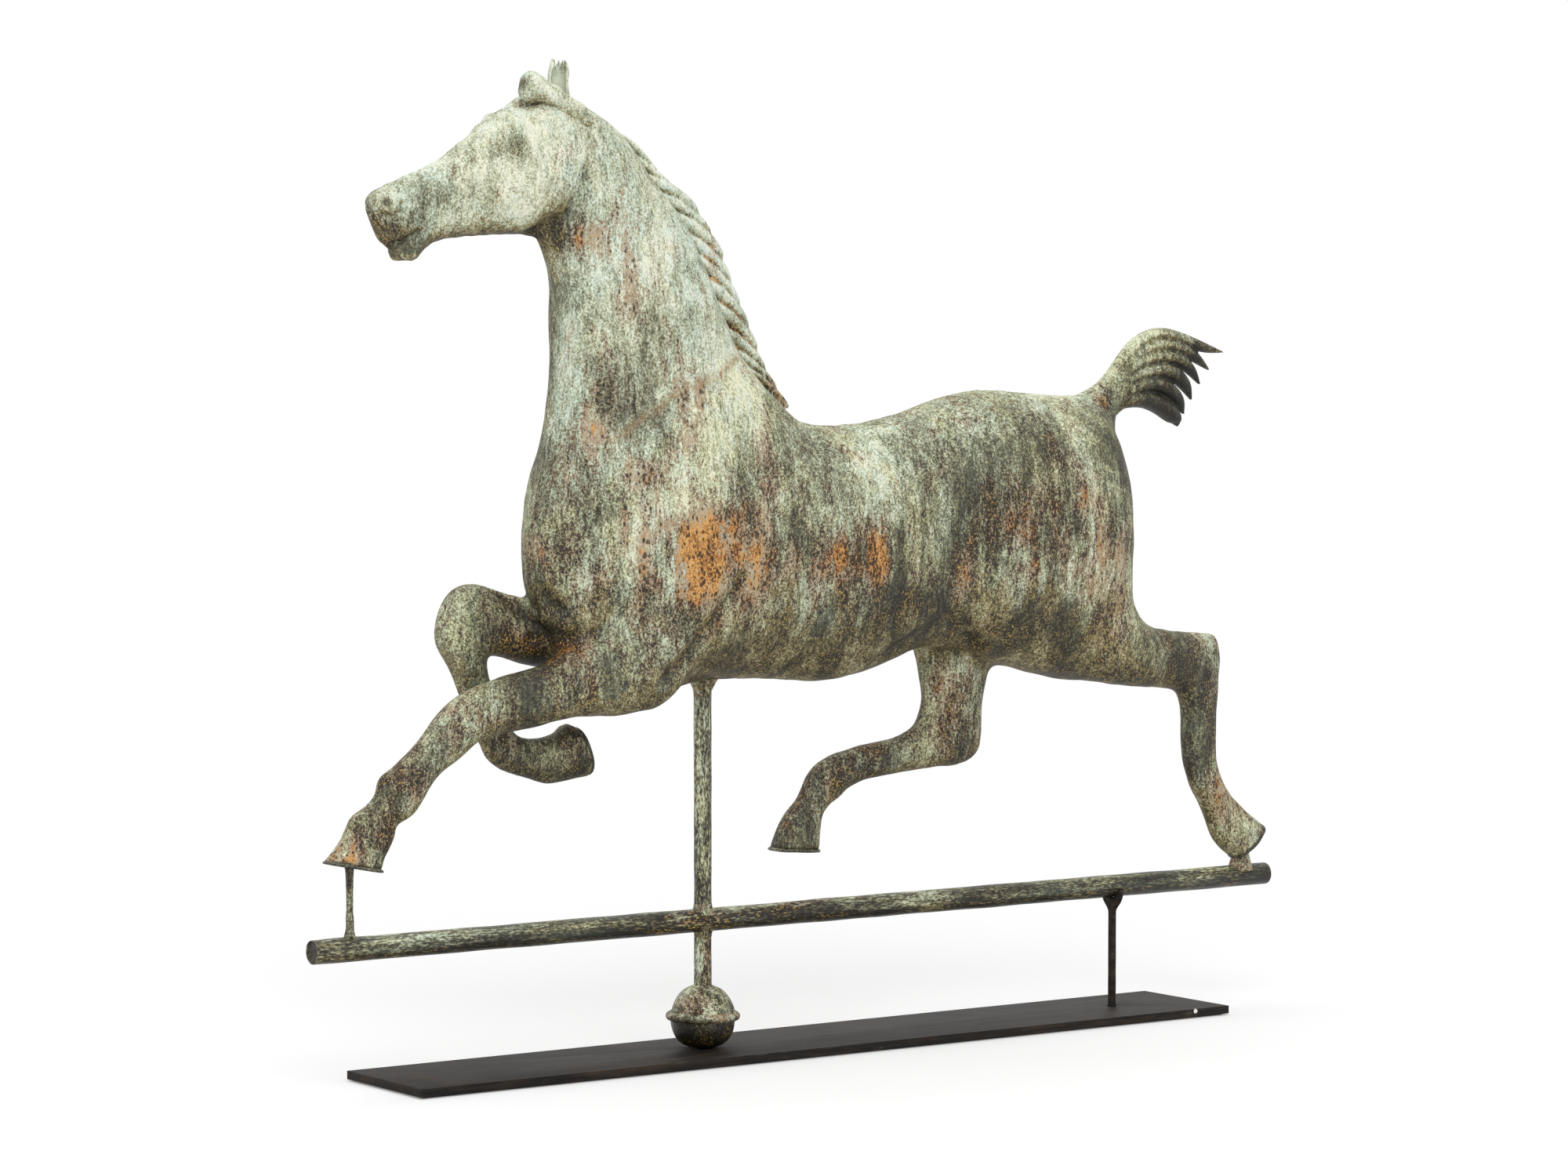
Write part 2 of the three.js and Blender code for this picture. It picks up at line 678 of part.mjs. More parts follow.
function screwClear(x) {
  const reach = screwHeadHeight + 2 * seamGap;
  const wide = screwHeadDiameter + 2 * seamGap;
  const sink = new THREE.CylinderGeometry(screwHole / 2, wide / 2, reach, roundSides);
  sink.rotateX(Math.PI / 2);
  sink.translate(x, 0, feltThickness + reach / 2 - seamGap);
  return solidOf(sink).add(upright(screwHole, feltThickness, screwTop + slipGap, x));
}

function basePlate() {
  const half = plateWidth / 2;
  const plate = block([-plateAhead, -half, feltThickness], [plateRear, half, plateTop]);
  return plate.subtract(screwClear(0)).subtract(screwClear(postPlace));
}

function baseFelt() {
  const half = plateWidth / 2 - feltInset;
  return block([feltInset - plateAhead, -half, 0], [plateRear - feltInset, half, feltThickness]);
}

function spindle() {
  const top = plateTop + spindleHeight;
  const round = spindleDiameter / 2;
  const profile = [
    [0, plateTop],
    [round, plateTop],
    [round, top - round],
    [round * Math.SQRT1_2, top - round + round * Math.SQRT1_2],
    [0, top],
  ];
  return turned(profile).subtract(screwClear(0));
}

const forkFoot = crossbarHeight - crossbarRadius - forkRise;
function supportPost() {
  return upright(postDiameter, plateTop, forkFoot - seamGap, postPlace).subtract(screwClear(postPlace));
}

function forkArm(side) {
  const spread = crossbarRadius + forkArmDiameter / 2;
  const foot = new THREE.Vector3(postPlace, 0, forkFoot + forkArmDiameter / 2);
  const tip = new THREE.Vector3(postPlace, side * spread, crossbarHeight - crossbarRadius / 4);
  const length = foot.distanceTo(tip);
  const arm = new THREE.CylinderGeometry(forkArmDiameter / 2, forkArmDiameter / 2, length, roundSides / 2);
  const turn = new THREE.Quaternion().setFromUnitVectors(
    new THREE.Vector3(0, 1, 0),
    tip.clone().sub(foot).normalize(),
  );
  arm.applyQuaternion(turn);
  arm.translate(...foot.add(tip).multiplyScalar(0.5).toArray());
  return solidOf(arm);
}

function cradleFork() {
  const socket = upright(postDiameter, forkFoot, forkFoot + forkArmDiameter, postPlace);
  const cradle = joined([socket, forkArm(-1), forkArm(1)]);
  return largest(cradle.subtract(crossbarClear));
}

// Assembly
const stand = new THREE.Group();
const weathervane = new THREE.Group();

function add(group, name, solid, material) {
  const mesh = new THREE.Mesh(geometryOf(solid), material);
  mesh.name = name;
  group.add(mesh);
}

add(stand, "base_plate", basePlate(), blackSteel);
add(stand, "base_felt", baseFelt(), feltBlack);
add(stand, "spindle", spindle(), blackSteel);
add(stand, "spindle_screw", screwBody(0), blackSteel);
add(stand, "support_post", supportPost(), blackSteel);
add(stand, "post_screw", screwBody(postPlace), blackSteel);
add(stand, "cradle_fork", cradleFork(), blackSteel);

add(weathervane, "ball_lower", cup(spindleHole, -1), graphite);
add(weathervane, "ball_upper", cup(mastHole, 1), verdigris);
add(weathervane, "ball_rim_band", ballRimBand(), brownCopper);
add(weathervane, "mast_tube", mastTube(), darkVerdigris);
add(weathervane, "mast_plug", mastPlug(), brownCopper);
add(weathervane, "crossbar_tube", crossbarTube(), darkVerdigris);
add(weathervane, "crossbar_plug_front", crossbarPlug(crossbarFront, 1), graphite);
add(weathervane, "crossbar_plug_rear", crossbarPlug(crossbarRear, -1), graphite);
add(weathervane, "crossing_fillet_top", crossingFillet(1), solderGrey);
add(weathervane, "crossing_fillet_bottom", crossingFillet(-1), solderGrey);

const [trunkLeft, trunkRight] = trunkHalves();
add(weathervane, "body_left_shell", trunkLeft, verdigris);
add(weathervane, "body_right_shell", trunkRight, verdigris);
const [neckLeft, neckRight] = neckHalves();
add(weathervane, "neck_left_shell", neckLeft, paleVerdigris);
add(weathervane, "neck_right_shell", neckRight, paleVerdigris);
const [maneLeft, maneRight] = maneHalves();
add(weathervane, "mane_left", maneLeft, paleVerdigris);
add(weathervane, "mane_right", maneRight, paleVerdigris);
const [tailLeft, tailRight] = tailHalves();
add(weathervane, "tail_left", tailLeft, verdigris);
add(weathervane, "tail_right", tailRight, verdigris);

add(weathervane, "ear_left", nearEar(), paleVerdigris);
add(weathervane, "ear_right", farEar(), paleVerdigris);

const hooves = {};
for (const [name, leg] of Object.entries(legs)) {
  const pieces = legPieces(leg);
  hooves[name] = pieces;
  add(weathervane, `${name}_leg_left`, pieces.left, darkVerdigris);
  add(weathervane, `${name}_leg_right`, pieces.right, darkVerdigris);
  add(weathervane, `${name}_hoof_sole`, pieces.sole, graphite);
}

add(weathervane, "front_hoof_rod", hoofSupport(hoofRodDiameter, hoofRodShare, hooves.near_fore), darkVerdigris);
add(weathervane, "rear_hoof_stub", hoofSupport(hoofStubDiameter, hoofStubShare, hooves.near_hind), solderGrey);
add(weathervane, "belly_fillet", largest(bellyFillet().subtract(trunkClear)), solderGrey);

const horseWeathervane = new THREE.Group();
horseWeathervane.add(stand, weathervane);

export default horseWeathervane;
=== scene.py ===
import math

import bpy
import bmesh
import numpy as np
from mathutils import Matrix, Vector


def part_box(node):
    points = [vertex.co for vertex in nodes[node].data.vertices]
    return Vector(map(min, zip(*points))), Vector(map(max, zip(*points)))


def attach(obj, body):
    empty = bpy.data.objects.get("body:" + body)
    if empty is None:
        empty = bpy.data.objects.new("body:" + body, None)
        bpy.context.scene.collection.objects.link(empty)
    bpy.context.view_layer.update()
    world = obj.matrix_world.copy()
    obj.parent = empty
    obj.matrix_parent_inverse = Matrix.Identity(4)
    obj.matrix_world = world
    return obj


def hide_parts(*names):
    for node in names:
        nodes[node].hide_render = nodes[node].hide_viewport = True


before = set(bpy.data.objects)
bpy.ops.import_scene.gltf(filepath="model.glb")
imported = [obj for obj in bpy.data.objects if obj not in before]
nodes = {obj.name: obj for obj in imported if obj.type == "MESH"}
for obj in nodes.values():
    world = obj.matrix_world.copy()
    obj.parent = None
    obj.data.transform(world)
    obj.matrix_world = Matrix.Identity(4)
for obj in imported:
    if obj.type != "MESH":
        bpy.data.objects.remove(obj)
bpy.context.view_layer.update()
scene = bpy.context.scene
scene.view_settings.view_transform = "Standard"
print("frame loaded")


def linked(name, data):
    thing = bpy.data.objects.new(name, data)
    scene.collection.objects.link(thing)
    return thing


# Camera, fitted to the plate's corners, the crossbar and the mast.
view = {
    "place": (-1.905482, -2.835428, 0.516233),
    "turn": (87.022, 0.0, -34.881),
    "lens": 109.57,
    "sensor": 36.0,
}


def makeCamera():
    data = bpy.data.cameras.new("camera")
    data.lens = view["lens"]
    data.sensor_width = view["sensor"]
    data.sensor_fit = "HORIZONTAL"
    camera = linked("camera", data)
    camera.location = view["place"]
    camera.rotation_euler = [math.radians(angle) for angle in view["turn"]]
    scene.camera = camera


makeCamera()


# Short ways to build a node tree.
def addNode(tree, kind, inputs=None, **settings):
    node = tree.nodes.new(kind)
    for key, value in settings.items():
        setattr(node, key, value)
    for key, value in (inputs or {}).items():
        if isinstance(value, bpy.types.NodeSocket):
            tree.links.new(value, node.inputs[key])
        else:
            node.inputs[key].default_value = value
    return node


def calc(tree, operation, a, b):
    return addNode(tree, "ShaderNodeMath", {0: a, 1: b}, operation=operation).outputs[0]


def plus(tree, a, b):
    return calc(tree, "ADD", a, b)


def times(tree, a, b):
    return calc(tree, "MULTIPLY", a, b)


def spread(tree, value, low, high, toLow=0.0, toHigh=1.0):
    inputs = {0: value, 1: low, 2: high, 3: toLow, 4: toHigh}
    return addNode(tree, "ShaderNodeMapRange", inputs, interpolation_type="SMOOTHSTEP").outputs[0]


def mixed(tree, amount, a, b, blend="MIX"):
    a, b = ((*value, 1.0) if isinstance(value, tuple) else value for value in (a, b))
    inputs = {0: amount, 6: a, 7: b}
    return addNode(tree, "ShaderNodeMix", inputs, data_type="RGBA", blend_type=blend).outputs[2]


def noise(tree, vector, scale, detail=4.0, rough=0.6, twist=0.0):
    inputs = {"Vector": vector, "Scale": scale, "Detail": detail, "Roughness": rough, "Distortion": twist}
    return addNode(tree, "ShaderNodeTexNoise", inputs).outputs["Fac"]


def stretched(tree, place, scale, shift=(0.0, 0.0, 0.0)):
    return addNode(tree, "ShaderNodeMapping", {"Vector": place, "Scale": scale, "Location": shift}).outputs[0]


def stored(tree, name):
    return addNode(tree, "ShaderNodeAttribute", attribute_name=name).outputs["Fac"]


def coloured(tree, level, stops):
    node = addNode(tree, "ShaderNodeValToRGB", {0: level})
    ramp = node.color_ramp
    for place, colour in stops[1:-1]:
        ramp.elements.new(place)
    for element, (place, colour) in zip(ramp.elements, stops):
        element.position = place
        element.color = (*colour, 1.0)
    return node.outputs[0]


def rgb(*levels):
    # 0-255 screen levels as the linear colour of a socket
    shares = [level / 255 for level in levels]
    return tuple(s / 12.92 if s <= 0.04045 else ((s + 0.055) / 1.055) ** 2.4 for s in shares)


def startMaterial(name):
    material = bpy.data.materials.new(name)
    material.use_nodes = True
    tree = material.node_tree
    return material, tree, tree.nodes["Principled BSDF"]


def objectPlace(tree):
    return addNode(tree, "ShaderNodeTexCoord").outputs["Object"]


def finishMaterial(tree, shader, colour, relief, strength, depth, settings):
    lift = addNode(tree, "ShaderNodeBump", {"Height": relief, "Strength": strength, "Distance": depth})
    tree.links.new(colour, shader.inputs["Base Color"])
    tree.links.new(lift.outputs[0], shader.inputs["Normal"])
    for key, value in settings.items():
        shader.inputs[key].default_value = value


# Weathered copper: each finish goes from its dark ground to its palest powder.
patina = {
    "green": [(0.0, rgb(36, 34, 29)), (0.2, rgb(72, 68, 55)), (0.4, rgb(111, 107, 87)), (0.56, rgb(147, 149, 125)),
              (0.74, rgb(184, 192, 169)), (0.9, rgb(210, 217, 198)), (1.0, rgb(227, 231, 219))],
    "brown": [(0.0, rgb(34, 29, 24)), (0.3, rgb(76, 61, 47)), (0.6, rgb(126, 104, 81)), (1.0, rgb(170, 152, 126))],
    "orange": [(0.0, rgb(40, 28, 18)), (0.3, rgb(110, 70, 38)), (0.55, rgb(166, 113, 57)), (1.0, rgb(208, 160, 96))],
    "khaki": [(0.0, rgb(30, 28, 20)), (0.3, rgb(86, 77, 51)), (0.6, rgb(142, 128, 86)), (1.0, rgb(190, 180, 142))],
    "onLevel": {"brown": (2.3, -0.47), "orange": (1.9, -0.28), "khaki": (1.3, -0.07)},
    "gold": rgb(228, 186, 84),
    "teal": rgb(80, 92, 82),
    "mist": (rgb(244, 249, 251), rgb(255, 250, 240)),
    "sun": (rgb(246, 249, 246), rgb(255, 249, 229)),
    "joint": rgb(152, 119, 80),
    # stretch, shift, scale, detail, roughness and twist of each pattern
    "patterns": {
        "cloud": (0.6, 0.0, 17.0, 4.0, 0.6, 0.5),
        "cloudB": (0.7, 4.0, 27.2, 4.0, 0.6, 0.5),
        "streak": (0.2, 1.0, 120.0, 5.0, 0.6, 0.25),
        "dash": (0.35, 2.0, 380.0, 4.0, 0.7, 0.3),
        "speck": (0.8, 3.0, 760.0, 3.0, 0.75, 0.0),
        "drip": (0.28, 7.0, 62.0, 5.0, 0.7, 0.4),
        "tintWide": (0.5, 6.0, 22.0, 3.0, 0.6, 0.0),
        "tintFine": (0.3, 8.0, 210.0, 3.0, 0.7, 0.0),
    },
    "powderReach": {"cloud": 0.15, "streak": 0.08, "dash": 0.115, "speck": 0.2},
    "bareReach": {"drip": 0.3, "streak": 0.13, "dash": 0.15, "speck": 0.18},
    "pit": (0.6, 5.0, 330.0),
    "pitDark": 0.85,
    # where each effect starts and is full, and from what to what it goes there
    "ranges": {
        "powder": (0.37, 0.63),
        "coolCloud": (0.5, 0.72, 0.0, 0.45),
        "coolLevel": (0.75, 0.35),
        "tint": (0.82, 1.16),
        "bareCloud": (0.62, 0.3, 0.0, 0.5),
        "bare": (0.36, 0.64),
        "brown": (0.3, 0.78, 0.0, 0.85),
        "orange": (0.95, 1.2),
        "underFacing": (0.06, -0.52),
        "underDrip": (0.38, 0.62, 0.3, -0.4),
        "khaki": (0.38, 0.7, 0.0, 0.92),
        "khakiLevel": (0.75, 0.5),
        "fleck": (0.56, 0.62),
        "fleckBare": (0.42, 0.85, 0.0, 0.8),
        "fleckLevel": (0.65, 0.35),
        "pitStreak": (0.35, 0.65, -0.1, 0.12),
        "pit": (0.38, 0.24),
        "pitBare": (0.5, 0.9, 0.15, 1.0),
        "jointDash": (0.35, 0.65, 0.85, 0.3),
        "height": (0.2, 0.8),
        "gloss": (0.1, 0.7),
    },
    "speckHeight": 0.9,
    "glossier": 0.22,
    "duller": 0.15,
    "depth": 0.0009,
    "shader": {"Metallic": 0.05, "Specular IOR Level": 0.35},
}


def patinaMaterial(name, paleness, warmth=0.0, rough=0.7, bump=0.5, spots=True, grain="z", seed=0.0, contrast=1.0,
                   shade=0.14, draw=1.0, mists="mist"):
    material, tree, shader = startMaterial(name)
    place = objectPlace(tree)
    normal = addNode(tree, "ShaderNodeNewGeometry").outputs["Normal"]
    facing = addNode(tree, "ShaderNodeSeparateXYZ", {0: normal}).outputs[2]

    def drawn(length, shift):
        # places for a pattern drawn out along the run of the rain, or along a bar
        scale = (1.0, 1.0, length * draw) if grain == "z" else (length * draw, 1.0, 1.0)
        return stretched(tree, place, scale, (shift + seed, shift * 2, shift * 3))

    def over(value, key, *ends):
        return spread(tree, value, *patina["ranges"][key], *ends)

    def ramped(finish):
        slope, start = patina["onLevel"][finish]
        return coloured(tree, plus(tree, times(tree, level, slope), start), patina[finish])

    fields = {key: noise(tree, drawn(*row[:2]), *row[2:]) for key, row in patina["patterns"].items()}
    dash, speck, streak, cloudB = (fields[key] for key in ("dash", "speck", "streak", "cloudB"))

    # how pale the green is here: partly how much powder lies here, and partly painted shade, lighter on faces turned
    # up and darker on faces turned down
    level = plus(tree, times(tree, facing, shade), 0.5 + paleness)
    if spots:
        level = plus(tree, level, stored(tree, "pale"))
    for key, reach in patina["powderReach"].items():
        level = plus(tree, level, over(fields[key], "powder", -reach * contrast, reach * contrast))
    cool = times(tree, over(cloudB, "coolCloud"), over(level, "coolLevel"))
    green = mixed(tree, cool, coloured(tree, level, patina["green"]), patina["teal"])
    tint = over(plus(tree, fields["tintWide"], fields["tintFine"]), "tint")
    green = mixed(tree, 1.0, green, mixed(tree, tint, *patina[mists]), "MULTIPLY")

    # bare copper in brown and orange, smooth khaki underneath and flecks of gold
    warm = plus(tree, over(cloudB, "bareCloud"), warmth)
    if spots:
        warm = plus(tree, warm, stored(tree, "rust"))
    for key, reach in patina["bareReach"].items():
        warm = plus(tree, warm, over(fields[key], "bare", reach, -reach))
    colour = mixed(tree, over(warm, "brown"), green, ramped("brown"))
    colour = mixed(tree, over(warm, "orange"), colour, ramped("orange"))
    under = plus(tree, over(facing, "underFacing"), over(fields["drip"], "underDrip"))
    under = times(tree, over(under, "khaki"), over(level, "khakiLevel"))
    colour = mixed(tree, under, colour, ramped("khaki"))
    flecks = times(tree, over(speck, "fleck"), over(warm, "fleckBare"))
    colour = mixed(tree, times(tree, flecks, over(level, "fleckLevel")), colour, patina["gold"])

    *drawing, scale = patina["pit"]
    pit = addNode(tree, "ShaderNodeTexVoronoi", {"Vector": drawn(*drawing), "Scale": scale})
    hole = over(plus(tree, pit.outputs["Distance"], over(streak, "pitStreak")), "pit")
    hole = times(tree, hole, over(warm, "pitBare"))
    colour = mixed(tree, times(tree, hole, patina["pitDark"]), colour, patina["green"][0][1])
    if spots:
        joint = times(tree, stored(tree, "joint"), over(dash, "jointDash"))
        colour = mixed(tree, joint, colour, patina["joint"])

    relief = plus(tree, over(dash, "height"), times(tree, speck, patina["speckHeight"]))
    relief = calc(tree, "SUBTRACT", plus(tree, relief, over(streak, "height")), hole)
    finishMaterial(tree, shader, colour, relief, bump, patina["depth"], patina["shader"])
    gloss = over(level, "gloss", rough - patina["glossier"], rough + patina["duller"])
    tree.links.new(gloss, shader.inputs["Roughness"])
    return material


steel = {
    "black": rgb(22, 21, 20),
    "worn": rgb(66, 54, 43),
    "scratch": rgb(92, 86, 80),
    "chip": rgb(225, 222, 215),
    "chipPlace": (0.4178, -0.0502, 0.0056),
    "chipReach": (0.0026, 0.0021),
    "millLong": (3.0, 40.0, 40.0),
    "mill": (6.0, 6.0, 0.65, 0.3),
    "grain": (900.0, 3.0, 0.7),
    "cloud": (14.0, 4.0, 0.6, 0.6),
    "scratchLong": (30.0, 260.0, 260.0),
    "scratches": (1.0, 5.0, 0.7, 1.0),
    "wornReach": (0.35, 0.7, 0.0, 0.8),
    "blackReach": (0.35, 0.65, 0.0, 0.7),
    "scratchReach": (0.56, 0.72, 0.0, 0.45),
    "gloss": (0.3, 1.0, 0.5, 0.68),
    "bump": 0.45,
    "depth": 0.0005,
    "shader": {"Specular IOR Level": 0.13},
}


def steelMaterial(name):
    material, tree, shader = startMaterial(name)
    place = objectPlace(tree)
    mill = noise(tree, stretched(tree, place, steel["millLong"]), *steel["mill"])
    grain = noise(tree, place, *steel["grain"])
    cloud = noise(tree, place, *steel["cloud"])
    scratch = noise(tree, stretched(tree, place, steel["scratchLong"]), *steel["scratches"])
    colour = mixed(tree, spread(tree, mill, *steel["wornReach"]), steel["black"], steel["worn"])
    colour = mixed(tree, spread(tree, cloud, *steel["blackReach"]), colour, steel["black"])
    colour = mixed(tree, spread(tree, scratch, *steel["scratchReach"]), colour, steel["scratch"])
    away = addNode(tree, "ShaderNodeVectorMath", {0: place, 1: steel["chipPlace"]}, operation="DISTANCE")
    away = plus(tree, away.outputs["Value"], times(tree, grain, 0.001))
    colour = mixed(tree, spread(tree, away, *steel["chipReach"]), colour, steel["chip"])
    relief = plus(tree, mill, times(tree, grain, 0.5))
    finishMaterial(tree, shader, colour, relief, steel["bump"], steel["depth"], steel["shader"])
    gloss = spread(tree, plus(tree, mill, times(tree, grain, 0.3)), *steel["gloss"])
    tree.links.new(gloss, shader.inputs["Roughness"])
    return material


felt = {
    "deep": rgb(34, 33, 34),
    "fluff": rgb(74, 72, 72),
    "fibres": (1500.0, 5.0, 0.75, 1.5),
    "fluffReach": (0.3, 0.7),
    "bump": 0.6,
    "depth": 0.0004,
    "shader": {"Roughness": 0.95, "Sheen Weight": 0.4},
}


def feltMaterial(name):
    material, tree, shader = startMaterial(name)
    fibres = noise(tree, objectPlace(tree), *felt["fibres"])
    colour = mixed(tree, spread(tree, fibres, *felt["fluffReach"]), felt["deep"], felt["fluff"])
    finishMaterial(tree, shader, colour, fibres, felt["bump"], felt["depth"], felt["shader"])
    return material


paleSkin = patinaMaterial("pale_verdigris_skin", 0.0)
greenSkin = patinaMaterial("verdigris_skin", 0.0, contrast=1.12, mists="sun")
# the crossbar's faces turned down get stronger painted shade than the default
barSkin = patinaMaterial("crossbar_patina", -0.37, 0.05, 0.5, grain="x", seed=2.0, contrast=1.4, shade=0.24,
                         draw=0.4, mists="sun")
mastSkin = patinaMaterial("mast_patina", -0.05, 0.1, 0.6, seed=4.6, contrast=1.5, draw=0.5, mists="sun")
ballTop = patinaMaterial("ball_patina", 0.0, 0.3, spots=False, seed=5.0, contrast=1.7, draw=1.9, mists="sun")
rodSkin = patinaMaterial("rod_patina", -0.3, 0.3, spots=False, seed=9.0, mists="sun")
brownRim = patinaMaterial("brown_rim_patina", -0.04, 0.4, spots=False, seed=6.0, contrast=1.4)
darkCopper = patinaMaterial("dark_copper_patina", -0.4, 0.2, 0.5, spots=False, seed=7.0)
solderSkin = patinaMaterial("solder_patina", -0.1, 0.45, 0.55, spots=False, seed=8.0, mists="sun")
blackSteel = steelMaterial("black_steel_satin")
blackFelt = feltMaterial("black_felt")
print("materials made")


# Mesh helpers. Points are rows of x, y, z in metres.
def makePiece(name, points, faces, material):
    mesh = bpy.data.meshes.new(name)
    mesh.from_pydata([tuple(point) for point in points], [], faces)
    mesh.materials.append(material)
    mesh.shade_smooth()
    mesh.validate()
    mesh.update()
    return linked(name, mesh)


def facingOut(points, faces):
    volume = 0.0
    for face in faces:
        first = points[face[0]]
        for k in range(1, len(face) - 1):
            volume += np.dot(first, np.cross(points[face[k]], points[face[k + 1]]))
    return faces if volume > 0 else [face[::-1] for face in faces]


def gridFaces(rows, sides):
    faces = []
    for i in range(rows - 1):
        for k in range(sides):
            a, b = i * sides + k, i * sides + (k + 1) % sides
            faces.append((a, b, b + sides, a + sides))
    return faces


def tubeParts(grid):
    # a closed skin round a grid of rings, with a point at each end
    rows, sides = grid.shape[:2]
    points = np.vstack([grid.reshape(-1, 3), grid[0].mean(0), grid[-1].mean(0)])
    faces = gridFaces(rows, sides)
    first, last = rows * sides, rows * sides + 1
    for k in range(sides):
        n = (k + 1) % sides
        faces.append((first, n, k))
        faces.append((last, (rows - 1) * sides + k, (rows - 1) * sides + n))
    return points, facingOut(points, faces)


def smoothRows(rows, steps):
    # a smooth line through the rows, with so many steps from each row to the next
    rows = np.asarray(rows, float)
    padded = np.vstack([rows[:1], rows, rows[-1:]])
    t = np.linspace(0, 1, steps, endpoint=False)[:, None]
    parts = []
    for i in range(len(rows) - 1):
        a, b, c, d = padded[i:i + 4]
        square, cube = 2 * a - 5 * b + 4 * c - d, 3 * b - a - 3 * c + d
        parts.append(0.5 * (2 * b + (c - a) * t + square * t ** 2 + cube * t ** 3))
    return np.vstack(parts + [rows[-1:]])


# The horse's outline. Each row is a rib: its top x and z, its low x and z and its half width, all in thousandths
# of the horse's length, or of its height above the foot for z.
horse = {
    "length": 0.84,
    "height": 0.616,
    "foot": 0.0994,
    "fullness": 2.25,
    "steps": 8,
    "sides": 120,
    "neckSides": 200,
    "legSides": 48,
    "seamRib": 21,
    "voxel": 0.0023,
    "rounds": 8,
    "crispReach": 0.022,
    "crispness": 0.75,
    "rootRounds": 60,
    "neckDome": 0.003,
    "noseDome": 0.0025,
}
skinShares = [
    [-325.5, 833.5, -312.5, 784, 7.2], [-320, 840.5, -307, 778.5, 12.2], [-312.5, 844.5, -302, 773, 15.5],
    [-304, 849, -297.5, 768.5, 16.8], [-297, 853, -291.5, 766, 17], [-290, 857, -285.5, 765.5, 17],
    [-284, 861, -280, 772, 16.5], [-276.5, 865.5, -272, 781, 16.5], [-260, 876, -260.5, 788, 17.5],
    [-244.5, 889.5, -241, 791.5, 20], [-229.5, 906, -221.5, 794, 22.8], [-210.5, 927.5, -199, 797.5, 25.8],
    [-195.5, 940, -176.5, 796.5, 27.2], [-177, 955, -162, 789, 27.5], [-152, 956, -150, 753, 27.5],
    [-117, 939, -144, 718, 29], [-83, 909.5, -147, 675, 31], [-56, 863, -148, 635, 33], [-27, 819, -152, 589, 37],
    [-4.5, 769.5, -159, 545, 40], [13.5, 716.5, -168, 503, 45], [33.5, 661, -173, 464, 50],
    [63.5, 615.5, -174.5, 425, 52], [93, 583, -170.5, 386, 55], [118, 575, -151, 333, 56],
    [143, 575, -112, 286, 57], [168, 578, -60, 271, 57], [194, 584, 0, 279, 56], [220, 593, 65, 280, 56],
    [248, 605, 126, 274, 56], [276, 613, 179, 287, 56], [307, 616, 226, 307, 56], [343, 614, 280, 300, 57],
    [379, 609, 342, 274, 57], [405, 608, 396, 259, 55], [420, 605, 430, 262, 49], [434, 576, 445, 304, 39],
    [442, 539, 450, 369, 28], [447, 500, 451, 420, 15], [449, 477, 451, 445, 6],
]
# The dock, where the tail comes out of the rump.
dockShares = [
    [385, 583, 430, 500, 30], [398, 597, 437, 535, 26], [412, 613, 444.5, 563, 20.5],
    [425, 622.5, 448.5, 578, 16.5], [435, 630.5, 452, 586, 14.2], [444, 643, 458, 588.5, 12.5],
    [452, 652.5, 466, 591, 10.5], [462, 660, 476, 593, 7.5], [473, 664, 486, 597, 3],
]
